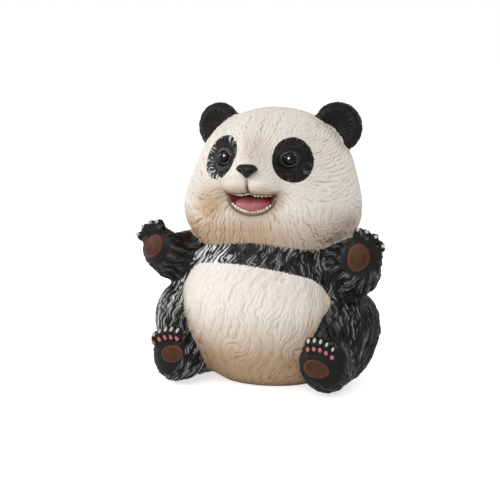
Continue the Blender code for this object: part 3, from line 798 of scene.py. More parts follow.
def strand_axes(points, region):
    """Where each point lies about its strands' axis, how far along them it is, and how wide they are."""
    x, y, z = points.T
    side = np.sign(x)
    middle = STRAND_CENTRE[2]
    back = np.clip(y - STRAND_CENTRE[1], 0, 60)
    jaw_top, jaw_height, most = JAW_WIDENING
    low = 1 + np.clip((jaw_top - z) / jaw_height, 0, most)
    sideways = np.stack([x * low, z - middle - BACK_DROP * back], axis=1)
    run = np.linalg.norm(points - STRAND_CENTRE, axis=1)
    beneath = sideways[:, 1] ** 2 / (np.sum(sideways**2, axis=1) + 1e-9)
    period = np.array(STRAND_PERIODS)[region] * np.where(region == 0, 1 + (low - 1) * beneath, 1)
    curl = TRUNK_CURL * (value_noise(points / 15, CURL_SEED) - 0.5) * (z < CHEST_BAND_HEIGHT)
    flows = [(np.stack([x + curl - TRUNK_LEAN * z, y - TRUNK_AXIS], axis=1), -z)]
    outward = np.stack([side, 1 + 0 * x, 1 + 0 * x], axis=1)
    for start, end in LIMB_AXES:
        way = np.array(end, float) - start
        way /= np.linalg.norm(way)
        across = np.cross(way, (0, 0, 1.0))
        across /= np.linalg.norm(across)
        local = points * outward - start
        flows.append((np.stack([local @ across, local @ np.cross(way, across)], axis=1), local @ way))
    local = np.stack([x * side - EAR.centre[0], z - EAR.centre[2] + EAR_AXIS_DROP], axis=1)
    flows.append((local, np.linalg.norm(local, axis=1) + np.abs(y - EAR.centre[1])))
    for number, (place, along) in enumerate(flows, 1):
        sideways[region == number] = place[region == number]
        run = np.where(region == number, along, run)
    eye = np.stack([x * side - EYE_PLACE[0], z - EYE_PLACE[1]], axis=1)
    reach = np.linalg.norm(eye, axis=1)
    near = (region == 0) & (reach < EYE_STRANDS) & (y < FACE_FRONT) & (darkness(points) > 0)
    sideways[near] = eye[near]
    return sideways, np.where(near, reach, run), period


def strand_ridges(points, sideways, run, period, swing, wave, seed):
    """Long narrow ridges about this far apart, which fork where they fan out, from 0 to 1."""
    radius = np.maximum(np.linalg.norm(sideways, axis=1), LEAST_RADIUS)
    turn = np.arctan2(sideways[:, 0], sideways[:, 1]) / (2 * math.pi)
    drift = value_noise(points / DRIFT_SIZE, seed)
    shift = swing * np.sin(2 * math.pi * run / wave + DRIFT_TURN * drift) + DRIFT_REACH * (drift - 0.5)
    octave = np.log2(2 * math.pi * radius / period)
    share = np.clip((octave - np.floor(octave) - FORK_START) / FORK_LENGTH, 0, 1)
    ridges = np.zeros(len(points))
    for step, weight in ((0, 1 - share), (1, share)):
        count = 2 ** (np.floor(octave) + step)
        across = (turn + shift / (2 * math.pi * radius)) * count
        number = np.mod(np.floor(across), count)
        place = np.stack([number * 3, number * 0 + seed, run / STRAND_LENGTH + number * 0.37], axis=1)
        level = STRAND_LEVELS[0] + STRAND_LEVELS[1] * value_noise(place, seed)
        ridges += weight * np.sin(math.pi * (across - np.floor(across))) ** 0.8 * level
    return ridges


def combed_fine(points, normals):
    """The way of the fine strands: as the locks lie, but out from each eye in its patch."""
    way = combed(points, normals)
    for side in SIDES:
        out = points - mirrored(EYE_SOCKET, side).centre
        reach = np.linalg.norm(out, axis=1, keepdims=True)
        share = ramp(reach, *EYE_COMB)
        way = way * (1 - share) + out / (reach + 1e-6) * share
    return along_surface(way, normals)


def nose_crease(x, z, width, widening):
    """The crease from the nose to the lip, which widens downwards."""
    return hump(x, 0, width + widening * np.clip(CREASE_TOP - 1 - z, 0, CREASE_LENGTH))


def face_relief(points):
    """The rims of the eyes and lower lip, a little raised, and the crease from the nose to the lip."""
    x, y, z = points.T
    height, place, width = LIP_RIM
    relief = height * hump(mouth_distance(points), place, width) * ramp(z, *LIP_RIM_HEIGHTS)
    crease = nose_crease(x, z, *CREASE_WIDTH)
    crease *= np.clip((CREASE_TOP - z) / 3, 0, 1) * np.clip((z - CREASE_FOOT) / 2, 0, 1)
    relief -= CREASE_DEPTH * crease * (y < NOSE_FRONT)
    for side in SIDES:
        reach = np.hypot((x * side - EYE_PLACE[0]) / EYE_RIM[0], (z - EYE_PLACE[1]) / EYE_RIM[1])
        relief += EYE_RIM_HEIGHT * hump(reach, *EYE_RIM_PLACE) * (y < FACE_FRONT)
    return relief


def carve_fur(mesh):
    """Carves the locks, the strands and the face's rims into the body, and stores what its paint follows."""
    points, normals = points_of(mesh), normals_of(mesh)
    region = np.argmin(region_distances(points), axis=0)
    fur = fur_amount(points)
    length, width = sizes().lock_length / millimetre(), sizes().lock_width / millimetre()
    roots = lock_roots(width * LOCK_SPACING)
    slopes = slope_of(roots)
    ways = combed(roots, slopes)
    locks = lock_relief(points, Strands(roots, ways, np.cross(slopes, ways), length, width))

    def of_region(values):
        return np.array(values)[region]

    ways = combed_fine(points, normals)
    sideways, run, period = strand_axes(points, region)
    swing, wave = of_region(STRAND_SWINGS), of_region(STRAND_WAVES)
    tuft_sizes = (period * TUFT_PERIOD, swing * TUFT_SWING, wave * TUFT_WAVE)
    tufts = strand_ridges(points, sideways, run, *tuft_sizes, TUFT_SEED)
    strands = strand_ridges(points, sideways, run, period, swing, wave, STRAND_SEED)
    layers = ((locks, LOCK_DEPTHS), (tufts, TUFT_DEPTHS), (strands, STRAND_DEPTHS))
    lift = sum((height - 0.5) * of_region(depths) * fur for height, depths in layers)
    move_to(mesh, points + (lift + face_relief(points))[:, None] * normals)

    ridge = sum(share * height for share, height in zip(RIDGE_SHARES, (locks, tufts, strands)))
    lobes = np.minimum(*(ball_distance(points, mirrored(LIP_LOBE, side)) for side in SIDES))
    stored = {
        "ridge": ridge,
        "tuft": tufts,
        "groove_paint": of_region(GROOVE_PAINTS),
        "fur": fur,
        "dark": darkness(points - ways * (ridge * of_region(EDGE_FRAYS))[:, None]),
        "hollow": np.minimum(0.5 - mouth_distance(points), lobes - 0.5),
        "lip": lip_line(points),
        "wash": wash_and_shade_amount(points, region),
        # The crease attribute is painted shade in the creases.
        "crease": crease_shade_amount(points, region),
        # The silver attribute is grey dry brush with painted highlights.
        "silver": silver_and_highlight_amount(points, region),
        "shading_normal": normals_of(mesh),
    }
    for name, values in stored.items():
        store(mesh, name, values)


def store(mesh, name, values):
    kind, field = ("FLOAT", "value") if values.ndim == 1 else ("FLOAT_VECTOR", "vector")
    layer = mesh.attributes.new(name, kind, "POINT")
    layer.data.foreach_set(field, values.astype(np.float32).ravel())


def darkness(points):
    """How far each point is inside the black paint, in millimetres, negative in the cream."""
    head, trunk, arms, legs, ears = region_distances(points)
    x, y, z = np.abs(points[:, 0]), points[:, 1], points[:, 2]
    head = head + NECK_PAINT * ramp(z, *NECK_PAINT_HEIGHTS)
    limbs = (np.minimum(head, trunk) - np.minimum(np.minimum(arms, legs), ears)) * PAINT_SLOPE
    limbs = limbs + FLANK_PAINT * ramp(x, *FLANK_SIDES) * (trunk < head)
    band_edge = CHEST_BAND_HEIGHT - CHEST_BAND_DROOP * (points[:, 0] - CHEST_BAND_MIDDLE) ** 2
    band_edge -= CHEST_BAND_END_DROOP * np.maximum(x - CHEST_BAND_END, 0) ** 2
    band = np.minimum(z - band_edge, (head - trunk) * PAINT_SLOPE)
    turn = math.radians(EYE_PATCH_TURN)
    out, up = x - EYE_PATCH[0], z - EYE_PATCH[1]
    wide = (out * math.cos(turn) + up * math.sin(turn)) / EYE_PATCH_RADII[0]
    tall = (up * math.cos(turn) - out * math.sin(turn)) / EYE_PATCH_RADII[1]
    patch = np.minimum((1 - np.hypot(wide, tall)) * PATCH_SLOPE, PATCH_BACK - y)
    return np.maximum(-blend(CORNER_ROUNDING, -limbs, -band), patch)


def wash_and_shade_amount(points, region):
    """How much tan wash each point carries: most low on the cheeks, on the jaw and low on the belly. Under
    the lip lobes and down the philtrum it is partly painted shade, and so is the extra on the figure's left
    flank, away from the key light.
    """
    across, y, z = points.T
    x = np.abs(across)
    jaw = ramp(z, *JAW_WASH_HEIGHTS) * (JAW_WASH - JAW_WASH_FADE * ramp(across, *JAW_WASH_SIDES))
    cheek = spot_amount(CHEEK_WASH, across, z) * (y < 0)
    lips = LIP_WASH * hump(np.maximum(mouth_distance(points) - 1, 0), 0, LIP_WASH_REACH) * (z < LIP_WASH_TOP)
    # Painted shade with tan wash under the lip lobes and in the philtrum's valley.
    lobes = LOBE_WASH_AND_SHADE * hump(z, LIP_WASH_TOP, LOBE_WASH_HEIGHT) * ramp(x, *LOBE_WASH_SIDES)
    lobes *= y < MUZZLE_FRONT
    valley = VALLEY_WASH_AND_SHADE * hump(x, 0, VALLEY_WIDTH) * ramp(z, *VALLEY_HEIGHTS)
    valley *= (z > CREASE_FOOT) & (y < MUZZLE_FRONT)
    brow = spot_amount(BROW_WASH, x, z) * (y < FACE_FRONT)
    head = np.maximum.reduce([jaw, cheek, lips, lobes, valley, brow])
    belly = ramp(z, *BELLY_WASH_HEIGHTS) ** BELLY_WASH_POWER
    # Tan wash on the flanks, with painted shade added on the figure's left, away from the key light.
    belly += np.where(across > 0, FLANK_WASHES_AND_SHADE[1], FLANK_WASHES_AND_SHADE[0]) * ramp(x, *FLANK_WASH_SIDES)
    upper = (region == 0) | (head_distance(points) < HEAD_MARGIN)
    return np.clip(np.where(upper, head, belly) + WASH_EVERYWHERE, 0, 1)


def crease_shade_amount(points, region):
    """How far painted shade darkens the cream in its creases: under the jaw, beside the limbs and at the
    foot.
    """

    def painted_shade(amount, distance):
        return amount[0] * hump(distance, 0, amount[1])

    head, trunk, arms, legs, ears = region_distances(points)
    x, y, z = points.T
    cheek = spot_amount(CORNER_SHADE, x, z) * (y < FACE_FRONT)
    upper = np.maximum.reduce([painted_shade(JAW_SHADE, trunk), painted_shade(EAR_SHADE, ears), cheek])
    lower = np.maximum(painted_shade(LIMB_SHADE, np.minimum(arms, legs)), painted_shade(FLOOR_SHADE, z))
    return np.where((region == 0) | (head < HEAD_MARGIN), upper, lower)


def lip_line(points):
    """How strongly each point is painted as the dark line of the lips and of the crease above them."""
    x, y, z = points.T
    strength, place, width = LOWER_LIP
    lower = strength * hump(mouth_distance(points), place, width) * ramp(z, *LOWER_LIP_HEIGHTS)
    corner = spot_amount(LIP_CORNER, np.abs(x), z) * (y < MOUTH_FRONT)
    crease = nose_crease(x, z, *CREASE_LINE) * ramp(z, *CREASE_LINE_HEIGHTS)
    crease *= (z > CREASE_FOOT) & (y < NOSE_FRONT)
    strength, place, width = UPPER_LIP
    under = strength * hump(z, place, width) * ramp(np.abs(x), *UPPER_LIP_SIDES) * (y < MUZZLE_FRONT)
    return np.clip(np.maximum.reduce([lower, corner, crease, under]), 0, 1)


def silver_and_highlight_amount(points, region):
    """How strongly the black fur's ridges are brushed with grey and painted with highlights: most on the
    right side's front, which faces the key light.
    """
    x, y, z = points.T
    eye = np.hypot(np.abs(x) - EYE_PLACE[0], z - EYE_PLACE[1])
    patch = np.where(x < 0, *PATCH_SILVERS) * ramp(eye, *PATCH_SILVER_REACH)
    band = BAND_SILVER + (1 - BAND_SILVER) * ramp(x, *BAND_SILVER_SIDES)
    arm = np.where(x < 0, *ARM_SILVERS)
    foot = 1 - FOOT_FADE * ramp(y, *FOOT_FADE_DEPTHS)
    outer = ramp(np.abs(x), *OUTER_FADE_SIDES) * ramp(y, *OUTER_FADE_DEPTHS)
    leg = np.where(x < 0, *LEG_SILVERS) * foot * (1 - OUTER_FADE * outer)
    rim = ramp(np.hypot(np.abs(x) - EAR.centre[0], z - EAR.centre[2]), *EAR_RIM)
    ear = EAR_SILVERS[0] + EAR_SILVERS[1] * rim
    shown = HIDDEN_SILVER + (1 - HIDDEN_SILVER) * ramp(y, *HIDDEN_SILVER_DEPTHS)
    return shown * np.select([region == number for number in range(5)], [patch, band, arm, leg, ear])


def cut_piece(whole, name, planes):
    """The part of the body behind every plane (point, normal), its cuts closed, as a piece."""
    bm = whole.copy()
    for point, normal in planes:
        everything = bm.verts[:] + bm.edges[:] + bm.faces[:]
        bmesh.ops.bisect_plane(bm, geom=everything, plane_co=point, plane_no=normal, clear_outer=True)
        rim = [edge for edge in bm.edges if edge.is_boundary]
        bmesh.ops.holes_fill(bm, edges=rim)
    bmesh.ops.triangulate(bm, faces=[face for face in bm.faces if len(face.verts) > 4])
    mesh = mesh_from(bm, name)
    mesh.shade_smooth()
    normals = np.empty(len(mesh.vertices) * 3, np.float32)
    mesh.attributes["shading_normal"].data.foreach_get("vector", normals)
    mesh.normals_split_custom_set_from_vertices(normals.reshape(-1, 3))
    return mesh


def add_piece(mesh, name, material):
    """Scales a mesh from the layout's millimetres to metres and makes it a piece of the figure."""
    mesh.transform(Matrix.Scale(millimetre(), 4))
    mesh.name = name
    mesh.materials.append(material)
    piece = bpy.data.objects.new(name, mesh)
    bpy.context.scene.collection.objects.link(piece)
    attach(piece, "root")
    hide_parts(BODY_NODE)
    return piece


class Wiring:
    """Adds nodes to one tree and links them."""

    def __init__(self, tree):
        self.tree = tree

    def add(self, kind, inputs=None, **settings):
        node = self.tree.nodes.new(kind)
        for name, value in settings.items():
            setattr(node, name, value)
        for name, value in (inputs or {}).items():
            self.set(node.inputs[name], value)
        return node

    def set(self, socket, value):
        if isinstance(value, bpy.types.NodeSocket):
            self.tree.links.new(value, socket)
        else:
            socket.default_value = value

    def attribute(self, name, output="Fac"):
        return self.add("ShaderNodeAttribute", attribute_name=name).outputs[output]

    def maths(self, operation, first, second):
        return self.add("ShaderNodeMath", {0: first, 1: second}, operation=operation).outputs[0]

    def plus(self, first, second):
        return self.maths("ADD", first, second)

    def times(self, first, second):
        return self.maths("MULTIPLY", first, second)

    def ease(self, value, low, high, to_low=0.0, to_high=1.0):
        """The value eased from one level at low to another at high, and level beyond them."""
        inputs = {"Value": value, "From Min": low, "From Max": high, "To Min": to_low, "To Max": to_high}
        return self.add("ShaderNodeMapRange", inputs, interpolation_type="SMOOTHSTEP").outputs["Result"]

    def mix(self, share, first, second, blend_type="MIX"):
        node = self.add("ShaderNodeMix", data_type="RGBA", blend_type=blend_type)
        self.set(node.inputs[0], share)
        self.set(node.inputs[6], rgba(first))
        self.set(node.inputs[7], rgba(second))
        return node.outputs[2]

    def mix_value(self, share, first, second):
        return self.add("ShaderNodeMix", {0: share, 2: first, 3: second}, data_type="FLOAT").outputs[0]

    def noise(self, vector, scale, detail=2.0, roughness=0.5):
        inputs = {"Vector": vector, "Scale": scale, "Detail": detail, "Roughness": roughness}
        return self.add("ShaderNodeTexNoise", inputs).outputs["Fac"]

    def object_place(self):
        return self.add("ShaderNodeTexCoord").outputs["Object"]


def rgba(colour):
    if isinstance(colour, bpy.types.NodeSocket):
        return colour
    return (*tuple(colour)[:3], 1)


def group_of(name, inputs, outputs, build):
    """A shader node group with these named sockets, built once."""
    found = bpy.data.node_groups.get(name)
    if found:
        return found
    tree = bpy.data.node_groups.new(name, "ShaderNodeTree")
    for title, kind, default in inputs:
        socket = tree.interface.new_socket(title, in_out="INPUT", socket_type=kind)
        if default is not None:
            socket.default_value = default
    for title, kind in outputs:
        tree.interface.new_socket(title, in_out="OUTPUT", socket_type=kind)
    entry = tree.nodes.new("NodeGroupInput")
    leave = tree.nodes.new("NodeGroupOutput")
    build(Wiring(tree), entry.outputs, leave.inputs)
    return tree


def patina_group():
    """Faint unevenness that all the painted resin shares: a soft mottle and a fine grain."""

    def build(wiring, given, results):
        place = wiring.object_place()
        wiring.set(results["Mottle"], wiring.noise(place, given["Mottle Scale"], 3))
        wiring.set(results["Grain"], wiring.noise(place, given["Grain Scale"], 2))

    inputs = [("Mottle Scale", "NodeSocketFloat", 90.0), ("Grain Scale", "NodeSocketFloat", 1500.0)]
    outputs = [("Mottle", "NodeSocketFloat"), ("Grain", "NodeSocketFloat")]
    return group_of("painted_resin_patina", inputs, outputs, build)


def fur_paint_group():
    """Where a wash settles and where a dry brush catches: the grooves and the crests of the strands."""

    def build(wiring, given, results):
        place = wiring.object_place()
        speck = wiring.noise(place, 1400.0, 2, 0.6)
        level = wiring.plus(given["Ridge"], wiring.times(speck, 0.12))
        wiring.set(results["Groove"], wiring.ease(level, given["Groove Top"], 0.2))
        wiring.set(results["Crest"], wiring.ease(level, given["Crest Foot"], 0.8))
        wiring.set(results["Speck"], speck)

    inputs = [
        ("Ridge", "NodeSocketFloat", 0.5),
        ("Groove Top", "NodeSocketFloat", 0.5),
        ("Crest Foot", "NodeSocketFloat", 0.6),
    ]
    outputs = [("Groove", "NodeSocketFloat"), ("Crest", "NodeSocketFloat"), ("Speck", "NodeSocketFloat")]
    return group_of("fur_paint", inputs, outputs, build)


def new_material(name):
    """An empty material with its shader, and the wiring to build the rest."""
    material = bpy.data.materials.new(name)
    material.use_nodes = True
    material.node_tree.nodes.clear()
    wiring = Wiring(material.node_tree)
    shader = wiring.add("ShaderNodeBsdfPrincipled")
    wiring.add("ShaderNodeOutputMaterial", {"Surface": shader.outputs["BSDF"]})
    return material, wiring, shader


def use_patina(wiring, mottle_scale=90.0, grain_scale=1500.0):
    node = wiring.add("ShaderNodeGroup", node_tree=patina_group())
    node.inputs["Mottle Scale"].default_value = mottle_scale
    node.inputs["Grain Scale"].default_value = grain_scale
    return node.outputs


def bump(wiring, shader, height, distance, strength=1.0):
    inputs = {"Height": height, "Distance": distance, "Strength": strength}
    wiring.set(shader.inputs["Normal"], wiring.add("ShaderNodeBump", inputs).outputs["Normal"])


def fur_material():
    """Cream and black paint over carved fur, with tan wash in the cream's hollows."""
    material, wiring, shader = new_material("painted_fur")
    colours = paints()
    ridge = wiring.attribute("ridge")
    fur = wiring.attribute("fur")
    patina = use_patina(wiring)
    brush = wiring.add("ShaderNodeGroup", node_tree=fur_paint_group())
    wiring.set(brush.inputs["Ridge"], ridge)
    brush.inputs["Groove Top"].default_value = GROOVE_TOP
    brush.inputs["Crest Foot"].default_value = CREST_FOOT
    speck = brush.outputs["Speck"]
    groove = wiring.times(brush.outputs["Groove"], fur)
    wash_here = wiring.attribute("wash")
    cream = wiring.mix(patina["Mottle"], colours.cream, colours.cream_light)
    share = wiring.times(groove, WASH_SHARES[0])
    wash = wiring.times(wash_here, wiring.plus(share, WASH_SHARES[1]))
    washed = wiring.mix(wash, cream, colours.tan)
    depth = wiring.plus(wiring.times(wash_here, GROOVE_SHARES[0]), GROOVE_SHARES[1])
    depth = wiring.times(depth, wiring.attribute("groove_paint"))
    # Painted shade in the creases darkens the cream towards the groove colour, as the wash does in the
    # strands' grooves.
    shaded = wiring.maths("MAXIMUM", wiring.times(groove, depth), wiring.attribute("crease"))
    cream_fur = wiring.mix(shaded, washed, colours.groove)

    # Grey dry brush with painted highlights on the black fur's crests.
    crest = wiring.times(brush.outputs["Crest"], wiring.attribute("silver"))
    patch = wiring.noise(wiring.object_place(), STROKE_SCALE)
    reach = wiring.times(wiring.attribute("silver"), STROKE_SILVER)
    tuft = wiring.plus(wiring.times(wiring.attribute("tuft"), STROKE_TUFT), reach)
    stroke = wiring.ease(wiring.plus(patch, tuft), *STROKE_EDGE)
    brushed = wiring.times(wiring.times(crest, stroke), fur)
    black_fur = wiring.mix(brushed, colours.black, colours.silver)

    dark = wiring.ease(wiring.attribute("dark"), *DARK_EDGE)
    coat = wiring.mix(dark, cream_fur, black_fur)
    hollow = wiring.ease(wiring.attribute("hollow"), *MOUTH_EDGE)
    lined = wiring.mix(wiring.attribute("lip"), wiring.mix(hollow, coat, colours.mouth), colours.lip)
    wiring.set(shader.inputs["Base Color"], lined)
    shader.inputs["Specular IOR Level"].default_value = FUR_SPECULAR
    dull = wiring.times(patina["Grain"], GRAIN_ROUGHNESS)
    gloss = wiring.ease(wiring.attribute("silver"), *SILVER_ROUGHNESS)
    rough = wiring.plus(wiring.mix_value(dark, CREAM_ROUGHNESS, gloss), dull)
    wiring.set(shader.inputs["Roughness"], rough)
    relief = wiring.times(ridge, fur)
    bump(wiring, shader, wiring.plus(relief, wiring.times(speck, SPECK_HEIGHT)), FUR_BUMP)
    return material


def plain_paint(
    name, colour, second, roughness, depth=0.00008, mottle_scale=160.0, coat=0.0, rim=None, specular=0.5
):
    """A painted detail: two tones in a soft mottle, a fine grain, and a rim colour where it has one."""
    material, wiring, shader = new_material(name)
    patina = use_patina(wiring, mottle_scale, 2200.0)
    tone = wiring.mix(wiring.ease(patina["Mottle"], 0.35, 0.65), colour, second)
    if rim is not None:
        tone = wiring.mix(wiring.ease(wiring.attribute("edge"), 0.72, 0.95), tone, rim)
    wiring.set(shader.inputs["Base Color"], tone)
    dull = wiring.ease(patina["Mottle"], 0.3, 0.7, roughness * 0.8, roughness * 1.2)
    wiring.set(shader.inputs["Roughness"], dull)
    shader.inputs["Specular IOR Level"].default_value = specular
    shader.inputs["Coat Weight"].default_value = coat
    shader.inputs["Coat Roughness"].default_value = 0.1
    bump(wiring, shader, patina["Grain"], depth)
    return material


def swept_tube(bm, path, radii, segments=10, closed=False):
    """Rings set across a path and joined by bridges, with both ends capped unless it is closed."""
    path = [Vector(point) for point in path]
    count = len(path)
    rings = []
    for number, (point, radius) in enumerate(zip(path, radii)):
        after = path[(number + 1) % count] if closed else path[min(number + 1, count - 1)]
        before = path[number - 1] if closed else path[max(number - 1, 0)]
        way = (after - before).normalized()
        side = way.cross(Vector((0, -1, 0.01))).normalized()
        place = Matrix.Translation(point) @ Matrix((side, way.cross(side), way)).transposed().to_4x4()
        made = bmesh.ops.create_circle(bm, segments=segments, radius=radius, matrix=place)
        rings.append({edge for vert in made["verts"] for edge in vert.link_edges})
    pairs = list(zip(rings, rings[1:])) + ([(rings[-1], rings[0])] if closed else [])
    for first, second in pairs:
        bmesh.ops.bridge_loops(bm, edges=list(first | second))
    if not closed:
        for ring in (rings[0], rings[-1]):
            bmesh.ops.contextual_create(bm, geom=list(ring))
    return [vert for ring in rings for edge in ring for vert in edge.verts]


def finished(bm, name, levels=0):
    """A smooth-shaded mesh whose faces point outwards."""
    bmesh.ops.recalc_face_normals(bm, faces=bm.faces[:])
    mesh = mesh_from(bm, name)
    if levels:
        mesh = with_modifier(mesh, "SUBSURF", levels=levels, render_levels=levels)
    mesh.shade_smooth()
    return mesh


def eyeballs():
    """Both eyeballs, each with how far every point is from its pupil's middle and from its painted glint."""
    bm = bmesh.new()
    pupil = bm.verts.layers.float.new("pupil")
    glint = bm.verts.layers.float.new("glint")
    radius = sizes().eye_radius / millimetre()
    for side in SIDES:
        centre = Vector((EYE_PLACE[0] * side, EYE_DEPTH + radius * EYE_SINK, EYE_PLACE[1]))
        place = Matrix.Translation(centre)
        made = bmesh.ops.create_uvsphere(bm, u_segments=48, v_segments=32, radius=radius, matrix=place)
        look = Vector((EYE_LOOK[0] * side, -1, EYE_LOOK[1])).normalized()
        for vert in made["verts"]:
            vert[pupil] = (vert.co - centre - look * radius).length / radius
            vert[glint] = (vert.co - centre - GLINT_WAY.normalized() * radius).length
            vert.co.x = centre.x + (vert.co.x - centre.x) * EYE_SQUASH[0]
            vert.co.y = centre.y + (vert.co.y - centre.y) * EYE_SQUASH[1]
    return finished(bm, "eyes")


def eyelids():
    """The raised lids: a pointed almond round each eye, heavier above."""
    bm = bmesh.new()
    tilt = math.radians(LID_TILT)
    for side in SIDES:
        path, radii = [], []
        for step in range(LID_POINTS):
            angle = 2 * math.pi * step / LID_POINTS
            level, rise = math.cos(angle), math.sin(angle)
            out = LID_HALF_WIDTH * level + LID_POINT * abs(level) ** 6 * math.copysign(1, level)
            up = LID_HEIGHTS[0 if angle < math.pi else 1] * rise * (1 - 0.18 * abs(level) ** 3)
            x = EYE_PLACE[0] + out * math.cos(tilt) - up * math.sin(tilt)
            z = EYE_PLACE[1] - LID_DROP + out * math.sin(tilt) + up * math.cos(tilt)
            path.append((x * side, z))
            radii.append(LID_RADII[0] + LID_RADII[1] * max(0, rise))
        swept_tube(bm, front_of(path) + (0, LID_SINK, 0), radii, 10, closed=True)
    return finished(bm, "eyelids", 1)


def nose():
    """A broad triangle with a flat bridge, two nostrils and a point over the lip."""
    bm = bmesh.new()
    place = Matrix.Translation(Vector(NOSE.centre)) @ Matrix.Diagonal((*NOSE.radii, 1))
    bmesh.ops.create_icosphere(bm, subdivisions=6, radius=1, matrix=place)
    for vert in bm.verts:
        x, y, z = vert.co - Vector(NOSE.centre)
        x *= 1.0 - 0.5 * max(0, -z / NOSE.radii[2]) ** 1.4
        if z > 0:
            x *= max(0.05, 1 - (z / NOSE.radii[2]) ** 2) ** -0.2
        z = z * 0.92 if z > 0 else z * (1 + 0.45 * math.exp(-((x / 2.6) ** 2)))
        y *= 1 - 0.1 * max(0, z / NOSE.radii[2])
        for side in SIDES:
            out = (x - NOSTRIL_PLACE[0] * side) / NOSTRIL_SIZE[0]
            up = (z - NOSTRIL_PLACE[1]) / NOSTRIL_SIZE[1]
            y += NOSTRIL_DEPTH * math.exp(-(out**2 + up**2)) * (y < 0)
        y += NOSE_GROOVE[0] * math.exp(-((x / NOSE_GROOVE[1]) ** 2)) * (z < 0.5) * (y < 0)
        vert.co = Vector(NOSE.centre) + Vector((x, y, z))
    return finished(bm, "nose")


def tongue():
    """A long cushion with a groove along its middle."""
    bm = bmesh.new()
    turn = rotation(TONGUE.turn).to_4x4()
    place = Matrix.Translation(Vector(TONGUE.centre)) @ turn @ Matrix.Diagonal((*TONGUE.radii, 1))
    bmesh.ops.create_icosphere(bm, subdivisions=5, radius=1, matrix=place)
    depth, width = TONGUE_GROOVE
    for vert in bm.verts:
        vert.co.z -= depth * math.exp(-((vert.co.x / width) ** 2))
    return finished(bm, "tongue")


def add_tooth(bm, foot, width, height, turn):
    """A small peg with rounded edges, narrower at its tip. A negative height points down."""
    place = Matrix.Translation(Vector(foot) + Vector((0, 0, height / 2)))
    size = Matrix.Diagonal((width, TOOTH_THICKNESS, abs(height), 1))
    made = bmesh.ops.create_cube(bm, size=1, matrix=place @ Matrix.Rotation(turn, 4, "Z") @ size)
    for vert in made["verts"]:
        if (vert.co.z - foot[2] - height / 2) * height > 0:
            vert.co.x = foot[0] + (vert.co.x - foot[0]) * TOOTH_TAPER
    edges = list({edge for vert in made["verts"] for edge in vert.link_edges})
    bmesh.ops.bevel(bm, geom=edges, offset=0.3, affect="EDGES", segments=3, profile=0.5, material=-1)


def teeth():
    """The upper row under the lip, and the lower row that stands along the jaw's edge."""
    bm = bmesh.new()
    draws = np.random.default_rng(5)
    for x in np.linspace(-UPPER_TEETH_REACH, UPPER_TEETH_REACH, UPPER_TEETH):
        out = (abs(x) - LIP_LOBE.centre[0]) / LIP_LOBE.radii[0]
        gum = LIP_LOBE.centre[2] - LIP_LOBE.radii[2] * math.sqrt(1 - out**2) + GUM_DEPTH
        height = -GUM_DEPTH - draws.uniform(0.9, 1.5)
        depth = UPPER_TEETH_FRONT + UPPER_TEETH_CURVE * x**2
        add_tooth(bm, (x + draws.uniform(-0.2, 0.2), depth, gum), UPPER_TOOTH_WIDTH, height, 0)
    places = np.linspace(-LOWER_TEETH_REACH, LOWER_TEETH_REACH, LOWER_TEETH)
    edge = MOUTH.centre[2] - MOUTH.radii[2] * np.sqrt(1 - (places / MOUTH.radii[0]) ** 2)
    for (x, y, _), lip in zip(front_of(list(zip(places, edge - 1.2))), edge):
        height = draws.uniform(2.7, 3.5)
        foot = (x, y + GUM_DEPTH, lip - GUM_DEPTH)
        add_tooth(bm, foot, draws.uniform(1.9, 2.3), height, draws.uniform(-0.3, 0.3))
    return finished(bm, "teeth")


def add_claw(bm, layer, foot, way, length, radius, droop):
    """A claw that curves to its tip, with how far along it each point is."""
    foot, way = Vector(foot), Vector(way).normalized()
    path, radii = [], []
    for step in range(CLAW_RINGS):
        share = step / (CLAW_RINGS - 1)
        path.append(foot + way * length * share + Vector((0, 0, -droop * share**2)))
        radii.append(radius * math.sqrt(max(0.02, 1 - share**1.7)))
    for vert in swept_tube(bm, path, radii, 12):
        vert[layer] = min(1, max(0, (vert.co - foot).dot(way) / length))


def finger_claws():
    """One claw on each finger's tip."""
    bm = bmesh.new()
    layer = bm.verts.layers.float.new("along")
    length = sizes().claw_length / millimetre()
    for side in SIDES:
        for finger in fingers(side):
            start, end = Vector(finger.start), Vector(finger.end)
            way = ((end - start).normalized() + Vector((0, -0.5, 0))).normalized()
            foot = end + way * finger.end_radius * FINGER_CLAW_SINK
            add_claw(bm, layer, foot, way, length, FINGER_CLAW_RADIUS, FINGER_CLAW_DROOP)
    return finished(bm, "finger_claws")


def toe_claws():
    """One claw on top of each toe."""
    bm = bmesh.new()
    layer = bm.verts.layers.float.new("along")
    for side in SIDES:
        way = (TOE_CLAW_WAY[0] * side, *TOE_CLAW_WAY[1:])
        for toe in toes(side):
            foot = Vector(toe.centre) + Vector(TOE_CLAW_OFFSET)
            add_claw(bm, layer, foot, way, TOE_CLAW_LENGTH, TOE_CLAW_RADIUS, TOE_CLAW_DROOP)
    return finished(bm, "toe_claws")


